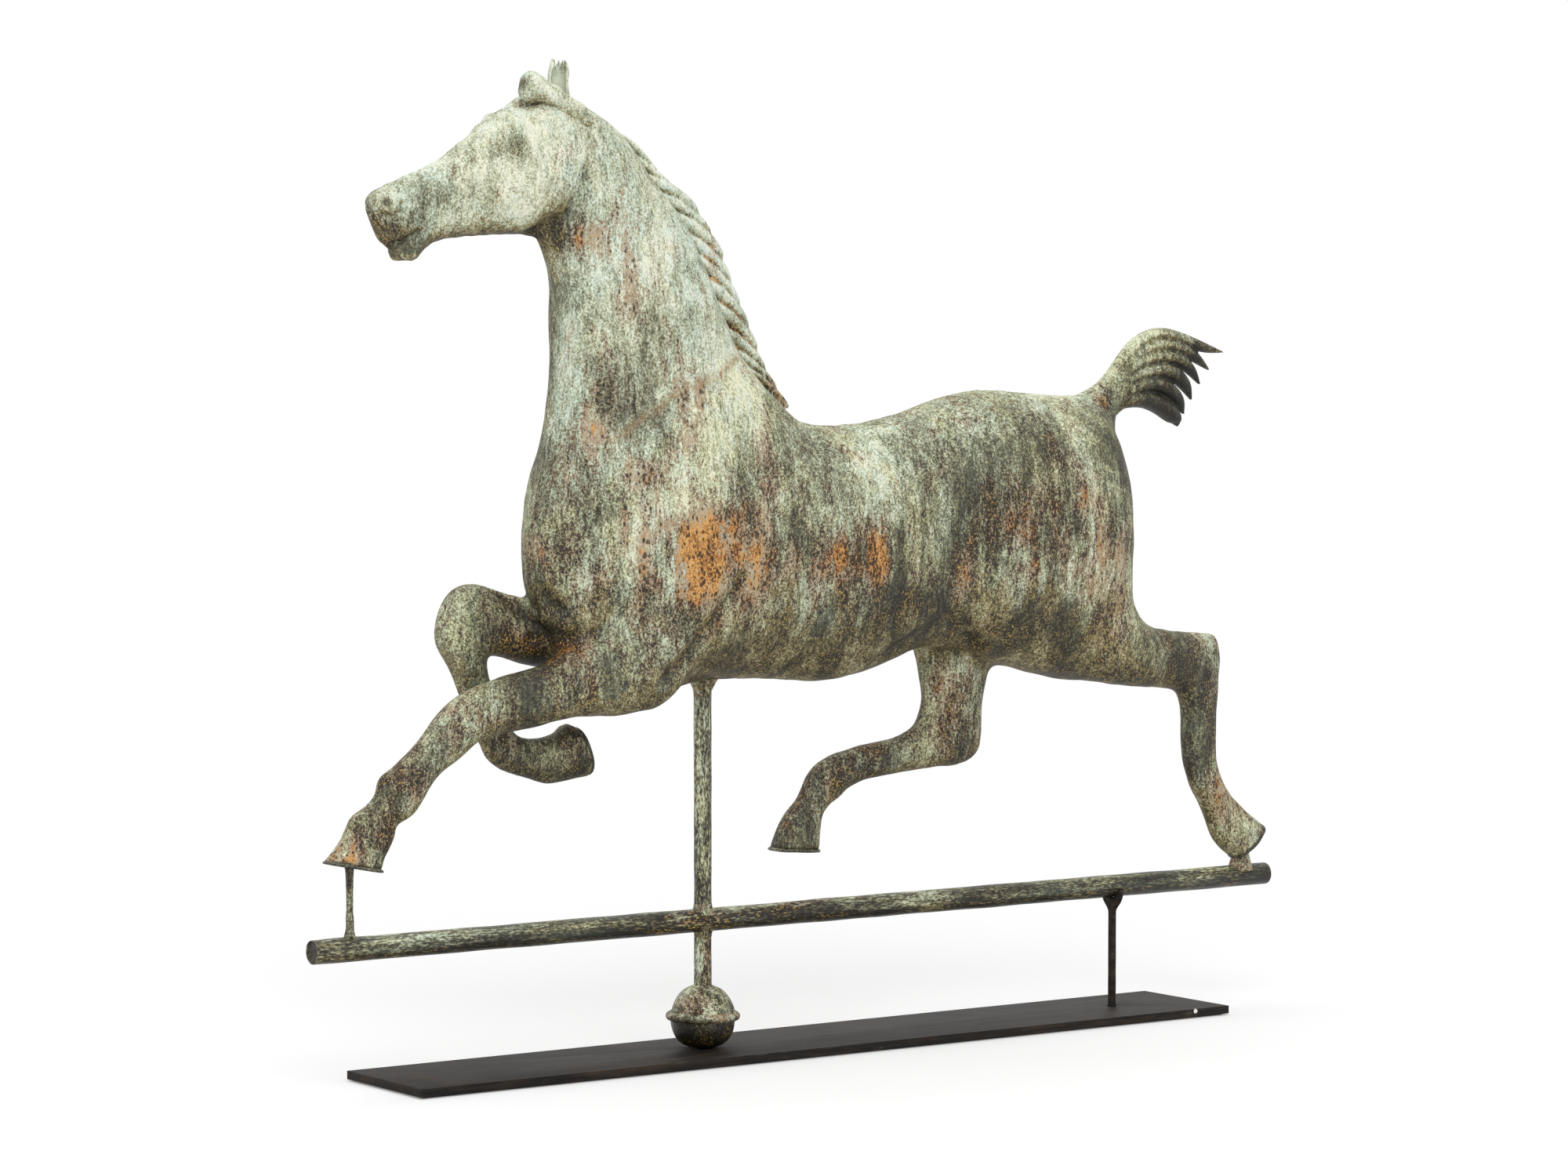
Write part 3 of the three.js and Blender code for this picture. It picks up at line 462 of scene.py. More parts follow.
# A leg's root and foot are how far it stands off the middle, and its lip is how far its sole stands out.
legs = {
    "near_fore": {
        "root": -0.03,
        "foot": 0.0,
        "lip": 0.0009,
        "shares": [
            [-26, 398, -20, 330, 19], [-80, 372, -56, 262, 24], [-125, 350, -93, 249, 24],
            [-168, 314, -143, 248, 21], [-211, 295, -186, 238, 18.5], [-234, 286, -218, 230, 16.5],
            [-251, 275, -235, 223, 14.8], [-267, 257, -248, 209, 14.2], [-284, 229, -270, 188, 13],
            [-302, 207, -282, 166, 12.5], [-318.5, 190, -290, 150, 12.5], [-323, 173, -297, 143, 12],
            [-330, 161, -306.5, 135, 11.5], [-344, 149, -308.5, 123, 12.5], [-350.5, 133, -314, 108, 13.5],
            [-356, 118, -318.5, 98, 15.5], [-367.5, 100, -320.5, 87.5, 18],
        ],
    },
    "far_fore": {
        "root": 0.026,
        "foot": 0.026,
        "lip": -0.0005,
        "shares": [
            [-95, 378, -93, 285, 19], [-137, 378, -122, 298, 20], [-173, 383, -160, 302, 19],
            [-190, 390, -184, 314, 18], [-211, 398.5, -197, 318, 17.5], [-223.5, 398, -202, 314, 17],
            [-236, 387, -203, 308, 16], [-244.5, 365, -202, 302, 15], [-247, 343, -201, 294, 14.5],
            [-244, 327, -199, 288, 13.5], [-235, 306, -196, 279, 12], [-225, 276, -192, 262, 10.5],
            [-214, 240, -182, 243, 10.5], [-206, 217, -174, 228.5, 11], [-199, 199, -164, 222, 11],
            [-184, 184, -147, 220.5, 11], [-163, 175, -138.5, 223, 11.5], [-144, 167.5, -131, 226.5, 12.5],
            [-126, 169.5, -124.5, 233.5, 14.5], [-111.5, 172, -118.5, 234.5, 15.5],
            [-100, 174.5, -113.5, 230.5, 15.5],
        ],
    },
    "far_hind": {
        "root": 0.026,
        "foot": 0.026,
        "lip": 0.0008,
        "shares": [
            [242, 372, 338, 358, 24], [241, 323, 331, 312, 24], [249, 284, 322, 275, 22],
            [253.5, 262, 316.5, 249, 20.5], [254, 236, 315, 216, 17.5], [245.5, 211.5, 315.5, 187, 16],
            [234, 201.5, 309, 170, 15], [221.5, 196.5, 290, 159.5, 14], [206, 193.5, 254, 158, 12.5],
            [184, 190, 224, 154, 11.8], [161, 183, 193, 149, 11.8], [143, 173.5, 172, 141, 12.2],
            [130, 160, 159, 129, 12.2], [123, 143, 149.5, 121, 11.5], [117, 130, 142.5, 111, 11.8],
            [106, 115, 140, 98.5, 13], [97.5, 95, 137.5, 83, 15.5], [91, 73.5, 136.5, 69.5, 18],
        ],
    },
    "near_hind": {
        "root": -0.014,
        "foot": 0.0,
        "lip": 0.0002,
        "shares": [
            [400, 470, 392, 272, 30], [428, 405, 420, 256, 33], [450, 352, 452, 249, 30], [475, 325, 485, 245, 24],
            [513, 314.5, 506, 242, 19.5], [549, 310.5, 518, 237, 16.5], [563.5, 305.5, 524, 224, 15.2],
            [568.5, 286, 526, 206, 14.2], [567.5, 256, 526, 184, 13], [565, 210, 527, 161, 11.5],
            [565, 168, 530, 142, 10.5], [568, 140, 535.5, 123, 10.8], [576, 118, 546, 102, 12.5],
            [584.5, 103, 555, 81, 12.5], [599, 87, 562, 60, 12.5], [614, 72.5, 572.5, 39.5, 14],
            [624.5, 63, 589, 24.5, 16.5],
        ],
    },
}


def ribTable(shares, side=0.0):
    table = np.array([row + [side] for row in shares]) / 1000
    table[:, [0, 2, 4, 5]] *= horse["length"]
    table[:, [1, 3]] = horse["foot"] + table[:, [1, 3]] * horse["height"]
    return table


def placed(share):
    return (share[0] / 1000 * horse["length"], 0.0, horse["foot"] + share[1] / 1000 * horse["height"])


def legRibs(leg):
    return smoothRows(ribTable(leg["shares"]), horse["steps"])


def rings(ribs, sides):
    angle = np.linspace(0, 2 * np.pi, sides, endpoint=False)
    power = 2 / horse["fullness"]
    up = np.sign(np.cos(angle)) * np.abs(np.cos(angle)) ** power
    across = np.sign(np.sin(angle)) * np.abs(np.sin(angle)) ** power
    middle = (ribs[:, 0:2] + ribs[:, 2:4]) / 2
    reach = (ribs[:, 0:2] - ribs[:, 2:4]) / 2
    x = middle[:, :1] + reach[:, :1] * up
    z = middle[:, 1:] + reach[:, 1:] * up
    y = ribs[:, 5:6] + ribs[:, 4:5] * across
    return np.stack([x, y, z], -1)


def shrunk(ribs, by):
    ribs = ribs.copy()
    line = ribs[:, 0:2] - ribs[:, 2:4]
    line /= np.linalg.norm(line, axis=1)[:, None]
    by = np.broadcast_to(by, len(ribs))[:, None]
    ribs[:, 0:2] -= line * by
    ribs[:, 2:4] += line * by
    ribs[:, 4:5] -= by
    return ribs


def outward(last, before):
    # the way that a row of ribs points at its last rib, square to that rib
    line = last[0:2] - last[2:4]
    square = np.array([-line[1], line[0]]) / np.linalg.norm(line)
    return square * np.sign(square @ ((last[0:2] + last[2:4]) - (before[0:2] + before[2:4])))


def roundedEnd(ribs, depth, steps=6):
    # ribs that close the last rib in a low dome
    last, square = ribs[-1], outward(ribs[-1], ribs[-2])
    line, middle = last[0:2] - last[2:4], (last[0:2] + last[2:4]) / 2
    added = []
    for i in range(1, steps + 1):
        angle = math.pi / 2 * i / steps
        size, shift = max(math.cos(angle), 0.05), math.sin(angle) * depth
        rib = last.copy()
        rib[0:2] = middle + line / 2 * size + square * shift
        rib[2:4] = middle - line / 2 * size + square * shift
        rib[4] = last[4] * size
        added.append(rib)
    return np.vstack([ribs, added])


def leaned(grid, leg, ribs):
    rootX, footX = ribs[0, 0], ribs[-1, 0]
    slope = (leg["foot"] - leg["root"]) * horse["length"] / (footX - rootX)
    grid[..., 1] += leg["root"] * horse["length"] + slope * (grid[..., 0] - rootX)
    return grid


def joinParts(parts):
    points, faces, start = [], [], 0
    for partPoints, partFaces in parts:
        points.append(partPoints)
        faces += [tuple(index + start for index in face) for face in partFaces]
        start += len(partPoints)
    return np.vstack(points), faces


def readRows(items, key, columns=3, kind=float):
    rows = np.empty(len(items) * columns, kind)
    items.foreach_get(key, rows)
    return rows.reshape(-1, columns)


def readPoints(piece):
    return readRows(piece.data.vertices, "co")


def readNormals(piece):
    return readRows(piece.data.vertices, "normal")


def readEdges(piece):
    return readRows(piece.data.edges, "vertices", 2, np.int64)


def writePoints(piece, points):
    piece.data.vertices.foreach_set("co", np.ascontiguousarray(points).ravel())
    piece.data.update()


def pushOut(piece, points, lift):
    writePoints(piece, points + readNormals(piece) * lift[:, None])


def evaluatedMesh(piece, name):
    depsgraph = bpy.context.evaluated_depsgraph_get()
    mesh = bpy.data.meshes.new_from_object(piece.evaluated_get(depsgraph))
    mesh.name = name
    return mesh


def remeshed(name, points, faces, voxel, material):
    rough = makePiece(name + "_rough", points, faces, material)
    modifier = rough.modifiers.new("voxels", "REMESH")
    modifier.mode = "VOXEL"
    modifier.voxel_size = voxel
    modifier.use_smooth_shade = True
    mesh = evaluatedMesh(rough, name)
    bpy.data.objects.remove(rough)
    if not mesh.materials:
        mesh.materials.append(material)
    return linked(name, mesh)


def neighbourMean(points, edges, count):
    total = np.empty_like(points)
    for axis in range(3):
        column = points[:, axis]
        total[:, axis] = np.bincount(edges[:, 0], column[edges[:, 1]], len(points))
        total[:, axis] += np.bincount(edges[:, 1], column[edges[:, 0]], len(points))
    return total / count[:, None]


def relaxed(points, edges, rounds, weight=1.0, keep=True):
    # evens the mesh out, and with keep gives the volume back after each round
    count = np.maximum(np.bincount(edges.ravel(), minlength=len(points)), 1)
    weight = np.broadcast_to(weight, len(points))[:, None]
    for _ in range(rounds):
        points = points + 0.5 * weight * (neighbourMean(points, edges, count) - points)
        if keep:
            points = points - 0.52 * weight * (neighbourMean(points, edges, count) - points)
    return points


def waves(points, seed, size, count=28):
    # slow uneven waves, from -1 to 1 or so
    draw = np.random.default_rng(seed)
    total = np.zeros(len(points))
    for _ in range(count):
        direction = draw.normal(size=3)
        direction *= 2 * math.pi * draw.uniform(0.6, 1.5) / size / np.linalg.norm(direction)
        total += np.sin(points @ direction + draw.uniform(0, 2 * math.pi))
    return total / math.sqrt(count / 2) / 2


def nearLine(points, line, width):
    # 1 on a line in x and z, falling off over its width, in mm
    flat = points[:, [0, 2]]
    best = np.full(len(points), 1e9)
    line, width = np.array(line) / 1000, width / 1000
    for start, end in zip(line[:-1], line[1:]):
        way = end - start
        share = np.clip((flat - start) @ way / (way @ way), 0, 1)
        best = np.minimum(best, np.linalg.norm(flat - (start + share[:, None] * way), axis=1))
    return np.exp(-(best / width) ** 2)


def nearSpot(points, *spot):
    x, z, radiusX, radiusZ = np.array(spot) / 1000
    return np.exp(-(((points[:, 0] - x) / radiusX) ** 2 + ((points[:, 2] - z) / radiusZ) ** 2))


def side(normals, which):
    # 1 on faces that look to that side: -1 near, 1 far, 0 both
    look = np.abs(normals[:, 1]) if which == 0 else normals[:, 1] * which
    return np.clip((look - 0.15) / 0.35, 0, 1)


def addRelief(points, normals, lines, mounds):
    lift = np.zeros(len(points))
    for which, height, width, line in lines:
        lift += height / 1000 * nearLine(points, line, width) * side(normals, which)
    for which, height, *spot in mounds:
        lift += height / 1000 * nearSpot(points, *spot) * side(normals, which)
    return lift


def spotted(points, spots):
    total = np.zeros(len(points))
    for which, amount, *spot in spots:
        near = 1.0 if which == 0 else np.clip(0.5 + points[:, 1] * which / 0.02, 0, 1)
        total += amount * nearSpot(points, *spot) * near
    return total


def storeShare(piece, name, values):
    layer = piece.data.attributes.new(name, "FLOAT", "POINT")
    layer.data.foreach_set("value", np.asarray(values, np.float32))


def finishPart(piece, material, *replaced, body="weathervane"):
    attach(piece, body)
    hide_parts(*replaced)


# Relief of the moulded sheet, in mm. A line has a side, height, width and points in x and z, a mound has a side,
# height, place and radii, and a root has a place and the radius that is smoothed. Side -1 is near, 1 far, 0 both.
relief = {
    "bodyLines": [
        (-1, -4, 6, [(0, 346), (-13, 330), (-24, 317), (-33, 303), (-46, 290), (-58, 277)]),
        (-1, -3.6, 3.6, [(-166.6, 343.6), (-155.1, 331.9), (-143.6, 320.6), (-130.1, 309.7)]),
        (-1, 1.8, 3.4, [(-155, 344.5), (-147.6, 335), (-138, 325), (-126, 315)]),
        (-1, -2.6, 3.6, [(-150, 350), (-141, 338), (-131, 327)]),
        (-1, -3, 5, [(-140, 308), (-125, 304), (-108, 312)]),
        (-1, -3.6, 6.5, [(150, 288), (165, 296), (183, 304), (200, 310), (211, 303), (231, 286)]),
        (1, -3, 6, [(-90, 350), (-100, 330), (-120, 310)]),
        (1, -3.4, 6, [(180, 310), (200, 330), (240, 335), (270, 315)]),
    ],
    "bodyMounds": [
        (-1, 5, -45, 335, 50, 45), (0, 3, -30, 420, 70, 60), (0, 4, 290, 370, 70, 70), (0, -3.5, 200, 360, 35, 60),
        (0, 3, 90, 360, 60, 50), (-1, -3, 330, 470, 50, 20),
    ],
    "headLines": [
        (0, 3.4, 3.4, [(-182, 672), (-173, 671.5), (-164, 665), (-158, 653), (-156.5, 640)]),
        (0, -3.6, 5, [(-150, 589), (-137, 596), (-127, 606), (-117, 620), (-112.5, 634)]),
        (0, -4.2, 2.6, [(-269, 576.5), (-262, 578.5), (-255, 581.5), (-248, 585.5), (-242, 589.5)]),
        (0, -3, 2.2, [(-266.5, 601.5), (-261.5, 600.5), (-256.5, 604), (-255.5, 609)]),
        (0, -2.8, 3.5, [(-185, 685), (-170, 681), (-155, 679), (-140, 684)]),
        (0, 1.8, 3, [(-252, 573), (-243, 576), (-238, 583)]),
    ],
    "headMounds": [
        (0, 3.8, -177, 658.5, 9.5, 8.5), (0, -3.6, -166.5, 647, 8, 13), (0, -2, -190, 648, 12, 9),
        (0, 5, -152, 622, 24, 26), (0, 2.6, -263.5, 609.5, 8.5, 7.5), (0, 1.8, -247.5, 573.5, 10, 5),
        (0, -2.5, -266, 609, 2.8, 3.4), (0, -1.2, -235, 605, 18, 12), (0, -4, -108.5, 668, 3.5, 3.5),
        (0, -3.5, -134, 580, 12, 18),
    ],
    "dentSize": 0.075,
    "dentDepth": 0.0012,
    "hammerSize": 0.02,
    "hammerDepth": 0.0003,
    "seamHeight": 0.0005,
    "seamWidth": 0.0013,
    "lap": 0.0014,
    "lapEnd": 0.0012,
    "lapHeight": 0.0016,
    "lapEdge": (1.8, 8, 2.4),
    "roots": [
        (-55, 290, 32), (-100, 310, 30), (200, 280, 28), (275, 285, 30), (365, 275, 30), (375, 330, 30),
        (-130, 300, 25), (365, 460, 30), (355, 480, 25),
    ],
}
# The seam that crosses the shoulder where the neck meets the trunk, in mm.
seamLine = [
    (-95, 448), (-82, 457.5), (-66, 468), (-48, 479.6), (-31.5, 484), (-14.5, 488.5), (-1.5, 496), (13, 503.5),
]
# Bare and pale places: side, amount, and place and radii in mm; and the general share at each height. The pale share
# also holds painted shade and highlight on the head, and painted shade towards the bottom.
stains = {
    "rust": [
        (-1, 1.05, -31, 359, 24, 38), (-1, 0.55, 9, 367, 20, 36), (-1, 0.5, -112, 452, 9, 30),
        (-1, 0.4, -80, 530, 10, 60), (-1, 0.32, -98, 496, 12, 26), (-1, 0.35, -127, 545, 7, 70),
        (-1, 0.5, -85, 428, 16, 18), (-1, 0.3, -72, 381, 16, 12), (-1, 0.4, -150, 385, 9, 45),
        (-1, 0.4, 61, 350, 20, 32), (-1, 0.5, 86.5, 357, 14, 24), (-1, 0.95, 113, 366, 9, 24),
        (-1, 0.45, 122, 352, 8, 20), (-1, 0.55, 213.5, 392, 13, 30), (-1, 1.15, 203, 339, 10, 24),
        (-1, 0.5, 257, 378, 35, 45), (-1, 0.32, 140, 318, 35, 10), (-1, 0.32, 235, 294, 45, 13),
        (-1, 0.45, 307, 393, 11, 10), (-1, 0.25, 320, 343, 14, 24), (0, 0.82, -272.5, 597, 8, 14),
        # the bare spots at x -178 under the jaw and -148 under the near ear's ridge are partly bare copper and
        # partly painted brown shade
        (0, 0.6, -260, 583, 14, 4), (0, 0.5, -178, 584.5, 40, 8), (-1, 0.2, -50, 420, 90, 60),
        (0, 0.6, -148, 679, 15, 4), (0, 0.45, -118, 590, 10, 16), (-1, 0.35, -108, 590, 12, 20),
        (0, 0.7, 65, 478, 10, 14), (0, 0.7, 357, 468, 8, 6), (0, 1.2, -142, 302, 24, 9),
        (-1, 0.3, -140, 315, 20, 20), (0, 0.8, -159.5, 693, 3, 6), (0, 0.5, -100, 655, 5, 5),
        (0, 0.35, 490, 200, 10, 50), (-1, 0.45, 385, 455, 8, 10), (0, 0.15, 340, 310, 50, 20),
        (0, 0.2, -300, 170, 12, 12), (0, 0.5, 100, 190, 24, 26), (-1, 0.3, 470, 240, 20, 20),
        (1, 0.9, 50, 360, 50, 40), (1, 0.6, 250, 400, 40, 40), (1, 0.7, -80, 420, 20, 50),
        (1, 0.8, 160, 330, 20, 30), (1, 0.4, -30, 560, 20, 40),
    ],
    "rustHeights": [150, 260, 310, 360, 400, 440, 500, 560, 600, 700],
    "rustLevels": [0.36, 0.32, 0.28, 0.24, 0.16, 0.06, 0.05, 0.03, -0.1, -0.2],
    "pale": [
        (-1, 0.16, -130, 507, 14, 40), (-1, 0.14, -42, 425, 22, 30), (-1, 0.16, -81, 374, 13, 22),
        (-1, 0.12, 114, 422, 40, 30), (0, 0.12, 11, 468, 30, 30), (-1, 0.14, 243, 420, 14, 30),
        (-1, 0.12, -121, 350, 18, 14), (-1, 0.14, 107, 320, 16, 14), (-1, 0.24, 180, 380, 13, 35),
        (-1, 0.12, 203, 337, 10, 20), (-1, 0.08, -130, 410, 20, 30), (-1, 0.16, 320, 370, 11, 50),
        (0, 0.12, -50, 600, 12, 40), (0, 0.1, 30, 500, 40, 30), (0, -0.02, -272.5, 597, 7, 12),
        (0, 0.2, -255, 611.5, 12, 9), (-1, 0.08, -90, 540, 40, 40), (-1, 0.1, 240, 460, 40, 20),
        (-1, -0.2, -95, 338, 20, 16), (-1, -0.2, 38, 334, 22, 14), (-1, -0.24, 157, 325, 35, 14),
        (-1, -0.22, 272, 309, 50, 18), (-1, -0.2, 262, 435, 34, 20), (-1, 0.14, 195, 452, 35, 30),
        (-1, -0.1, 262, 362, 24, 30), (-1, -0.2, 4.5, 424, 12, 35), (-1, -0.18, -46, 320, 22, 14),
        (-1, -0.16, 45, 390, 14, 30), (-1, -0.16, 142, 353, 12, 35), (-1, -0.05, -130, 377, 14, 20),
        (-1, -0.1, -60, 455, 45, 30), (-1, -0.2, 280, 390, 60, 50), (-1, -0.06, 330, 430, 30, 30),
        (-1, -0.06, -100, 500, 25, 40), (-1, -0.16, -100, 290, 50, 30), (-1, 0.1, -135, 360, 20, 30),
        # painted shade: the dark spots at x -166 in the eye hollow, -264 under the nostril, -178 and -225 under the
        # jaw, -148 under the near ear's ridge, -159.5 in the ear's slit, -266 in the nostril's pit, -249 along the
        # lips, and -110 and -145 in the throat corner; painted highlight: the pale spot at -160, 660 on the brow
        # ridge
        (-1, -0.05, -166, 648, 11, 12), (-1, -0.14, -264, 590, 20, 10), (0, -0.55, -178, 584.5, 40, 8),
        (0, -0.25, -225, 580, 30, 8), (-1, -0.1, -31, 359, 24, 36), (0, -0.24, -148, 679, 15, 3.5),
        (0, -0.5, -159.5, 693, 3, 6), (-1, -0.4, -266, 609, 2.8, 3), (0, -0.3, -249, 577, 12, 5),
        (0, -0.1, -110, 600, 20, 15), (0, -0.1, -145, 583, 10, 22), (0, 0.16, -160, 660, 6, 10),
        (0, 0.1, -300, 190, 20, 30), (0, -0.12, 400, 280, 40, 20), (0, 0.02, 475, 220, 12, 60),
        (0, 0.1, 230, 280, 15, 30), (0, 0.04, -190, 315, 12, 20), (0, -0.12, -160, 290, 30, 20),
        (0, -0.2, 360, 420, 30, 30),
    ],
    # the general paleness at each height, in mm: darker towards the bottom, partly the patina's own spread and
    # partly painted shade
    "heights": [150, 250, 290, 330, 370, 420, 470, 520, 600, 660, 700],
    "levels": [-0.12, -0.17, -0.13, -0.12, -0.12, 0.0, 0.03, 0.11, 0.14, 0.19, 0.23],
    # painted highlight on raised relief and painted shade in its hollows: the depth at which it is full, and its
    # share
    "reliefShadingDepth": 0.003,
    "reliefShadingShare": 0.16,
    "seamEdge": (2.2, 9, 2),
}

skin = smoothRows(ribTable(skinShares), horse["steps"])
seam = horse["seamRib"] * horse["steps"]


def onShoulderSeam(points, raggedness, size, width):
    ragged = points + (raggedness / 1000 * waves(points, 31, size / 1000))[:, None]
    return nearLine(ragged, seamLine, width) * np.clip(-points[:, 1] / 0.01, 0, 1)


def stained(piece, lift=0.0, more=0.0):
    # stores how pale and how bare each point is, and where the shoulder's seam runs; the paleness holds painted
    # shade and highlight as well as the patina's own paleness
    points = readPoints(piece)
    heights = points[:, 2] * 1000
    pale = spotted(points, stains["pale"]) + np.interp(heights, stains["heights"], stains["levels"]) + more
    # painted highlight on raised relief and painted shade in its hollows
    pale = pale + np.clip(lift / stains["reliefShadingDepth"], -1, 1) * stains["reliefShadingShare"]
    rust = spotted(points, stains["rust"]) + np.interp(heights, stains["rustHeights"], stains["rustLevels"])
    storeShare(piece, "joint", onShoulderSeam(points, *stains["seamEdge"]))
    storeShare(piece, "rust", rust)
    storeShare(piece, "pale", pale)


def unevenness(points):
    lift = relief["dentDepth"] * waves(points, 3, relief["dentSize"])
    lift *= np.clip((points[:, 2] - 0.2) / 0.1, 0.3, 1)
    lift += relief["hammerDepth"] * waves(points, 5, relief["hammerSize"])
    onSeam = np.exp(-(points[:, 1] / relief["seamWidth"]) ** 2) * np.clip(points[:, 2] / 0.02 - 15, 0, 1)
    lift += relief["seamHeight"] * onSeam * (1 + 0.8 * waves(points, 8, 0.012))
    across = onShoulderSeam(points, *relief["lapEdge"])
    return lift + relief["lapHeight"] * across * (1 + 0.6 * waves(points, 9, 0.01))


def makeBody():
    under = 3 * horse["steps"]
    ribs = skin[seam - under:]
    inset = np.interp(np.arange(len(ribs)), [0, under - 6, under + 1], [relief["lap"], relief["lapEnd"], 0.0])
    parts = [tubeParts(rings(shrunk(ribs, inset), horse["sides"]))]
    parts.append(tubeParts(rings(smoothRows(ribTable(dockShares), 6), horse["legSides"])))
    for leg in legs.values():
        ribs = legRibs(leg)
        parts.append(tubeParts(leaned(rings(ribs, horse["legSides"]), leg, ribs)))
    body = remeshed("horse_body_and_legs", *joinParts(parts), horse["voxel"], greenSkin)
    edges = readEdges(body)
    points = readPoints(body)
    crisp = np.zeros(len(points))
    for leg in legs.values():
        rib = ribTable(leg["shares"])[-1]
        end = np.array([(rib[0] + rib[2]) / 2, leg["foot"], (rib[1] + rib[3]) / 2])
        crisp = np.maximum(crisp, np.exp(-(np.linalg.norm(points - end, axis=1) / horse["crispReach"]) ** 4))
    points = relaxed(points, edges, horse["rounds"], 1 - horse["crispness"] * crisp)
    weight = np.max([nearSpot(points, x, z, radius, radius) for x, z, radius in relief["roots"]], axis=0)
    points = relaxed(points, edges, horse["rootRounds"], weight, keep=False)
    writePoints(body, points)
    lift = addRelief(points, readNormals(body), relief["bodyLines"], relief["bodyMounds"])
    pushOut(body, points, lift + unevenness(points))
    stained(body, lift)
    halves = [name + half for name in legs for half in ("_leg_left", "_leg_right")]
    finishPart(body, "verdigris", "body_left_shell", "body_right_shell", *halves)


def makeNeck():
    ribs = skin[:seam + 4]
    tuck = np.interp(np.arange(len(ribs)), [len(ribs) - 9, len(ribs) - 1], [0.0, relief["lap"]])
    ribs = roundedEnd(shrunk(ribs, tuck), horse["neckDome"])
    ribs = roundedEnd(ribs[::-1], horse["noseDome"])[::-1]
    points, faces = tubeParts(rings(ribs, horse["neckSides"]))
    neck = makePiece("horse_neck_and_head", points, faces, paleSkin)
    lift = addRelief(points, readNormals(neck), relief["headLines"], relief["headMounds"] + relief["bodyMounds"])
    pushOut(neck, points, lift + unevenness(points))
    stained(neck, lift)
    finishPart(neck, "pale_verdigris", "neck_left_shell", "neck_right_shell")


makeBody()
makeNeck()
print("horse skin made")


# Hair: a lock is a pointed bead, repeated along the crest or swept along each ridge of the tail. The ridges and
# the butt are in thousandths, as the ribs are.
mane = {
    "count": 12,
    "start": 0.2,
    "end": 0.87,
    "length": 0.056,
    "width": 0.0053,
    "rootDepth": 0.0105,
    "tipDepth": 0.0055,
    "slant": 21.0,
    "below": 0.005,
    "heights": [0.007, 0.0115, 0.0148, 0.016, 0.0165, 0.017, 0.0165, 0.0148, 0.0108, 0.0075],
    "sizes": (0.93, 1.07),
    "lockPlaces": [0, 0.1, 0.3, 0.75, 0.92, 1.0],
    "lockSizes": [0.15, 0.7, 1.0, 0.97, 0.78, 0.45],
    "seed": 4,
    "voxel": 0.0012,
    "butt": [
        [45, 660, 35, 620, 5], [56, 648, 45, 605, 6.5], [67.5, 630, 57, 595, 6.8], [78.5, 612, 69, 583, 6.5],
        [85.5, 600, 79, 577, 5],
    ],
    "comb": (3, 24, 0.0008),
    "grooveShadingShare": 0.3,
    "paleness": 0.22,
    "bareBelow": (0.62, 0.06),
    "endBelow": (0.495, 0.012),
    "endBare": 0.85,
}
tail = {
    "ridges": [
        [[441.6, 628.5], [457.5, 651], [473.5, 671], [491.6, 682], [507.8, 683], [524.1, 678.5], [542.5, 671],
         [558.9, 665.3], [578, 661]],
        [[443.6, 622], [457.5, 642], [471.5, 657.5], [485.6, 667], [499.7, 670.5], [516, 669.5], [532.3, 662],
         [545.6, 652.4], [561.5, 637.5]],
        [[445.6, 616], [457.5, 632.5], [469.5, 645.5], [483.6, 653.5], [497.7, 656.5], [511.9, 655.6], [524.2, 651],
         [538, 638.5], [550, 619.5]],
        [[446.6, 610], [459.6, 623.5], [471.6, 632.5], [485.7, 638], [499.8, 639], [512, 636.5], [522.2, 630.5],
         [532, 618.5], [539.7, 600.5]],
        [[447.6, 604], [459.6, 613], [471.6, 619], [485.7, 621.5], [497.9, 620.5], [508, 615.5], [517.2, 607],
         [524, 597], [530.4, 583.5]],
        [[448.6, 598.5], [459.7, 601.5], [471.7, 603.5], [483.8, 602.5], [495.9, 598], [506, 591.5], [515, 583.5],
         [520.5, 577], [522.9, 568.5]],
    ],
    "radii": [0.0048, 0.0052, 0.0056, 0.006, 0.0064, 0.0066],
    "sizes": [0.75, 0.92, 1.0, 1.02, 1.04, 1.02, 0.94, 0.68, 0.08],
    "flatness": 1.5,
    "sides": 16,
    "steps": 70,
    "darkPlaces": [0.385, 0.42, 0.46],
    "darkLevels": [0.0, -0.34, -0.62],
    "voxel": 0.0012,
    "comb": (4, 30, 0.0012),
    "grooveShadingShare": 0.26,
}


def geometryTree(name, inputs):
    tree = bpy.data.node_groups.new(name, "GeometryNodeTree")
    tree.interface.new_socket("Geometry", in_out="INPUT", socket_type="NodeSocketGeometry")
    for label, kind, value in inputs:
        socket = tree.interface.new_socket(label, in_out="INPUT", socket_type=kind)
        if value is not None:
            socket.default_value = value
    tree.interface.new_socket("Geometry", in_out="OUTPUT", socket_type="NodeSocketGeometry")
    return tree, tree.nodes.new("NodeGroupInput").outputs


def closeTree(tree, made, material):
    real = addNode(tree, "GeometryNodeRealizeInstances", {"Geometry": made})
    paint = addNode(tree, "GeometryNodeSetMaterial", {"Geometry": real.outputs[0], "Material": material})
    addNode(tree, "NodeGroupOutput", {0: paint.outputs[0]})
    return tree


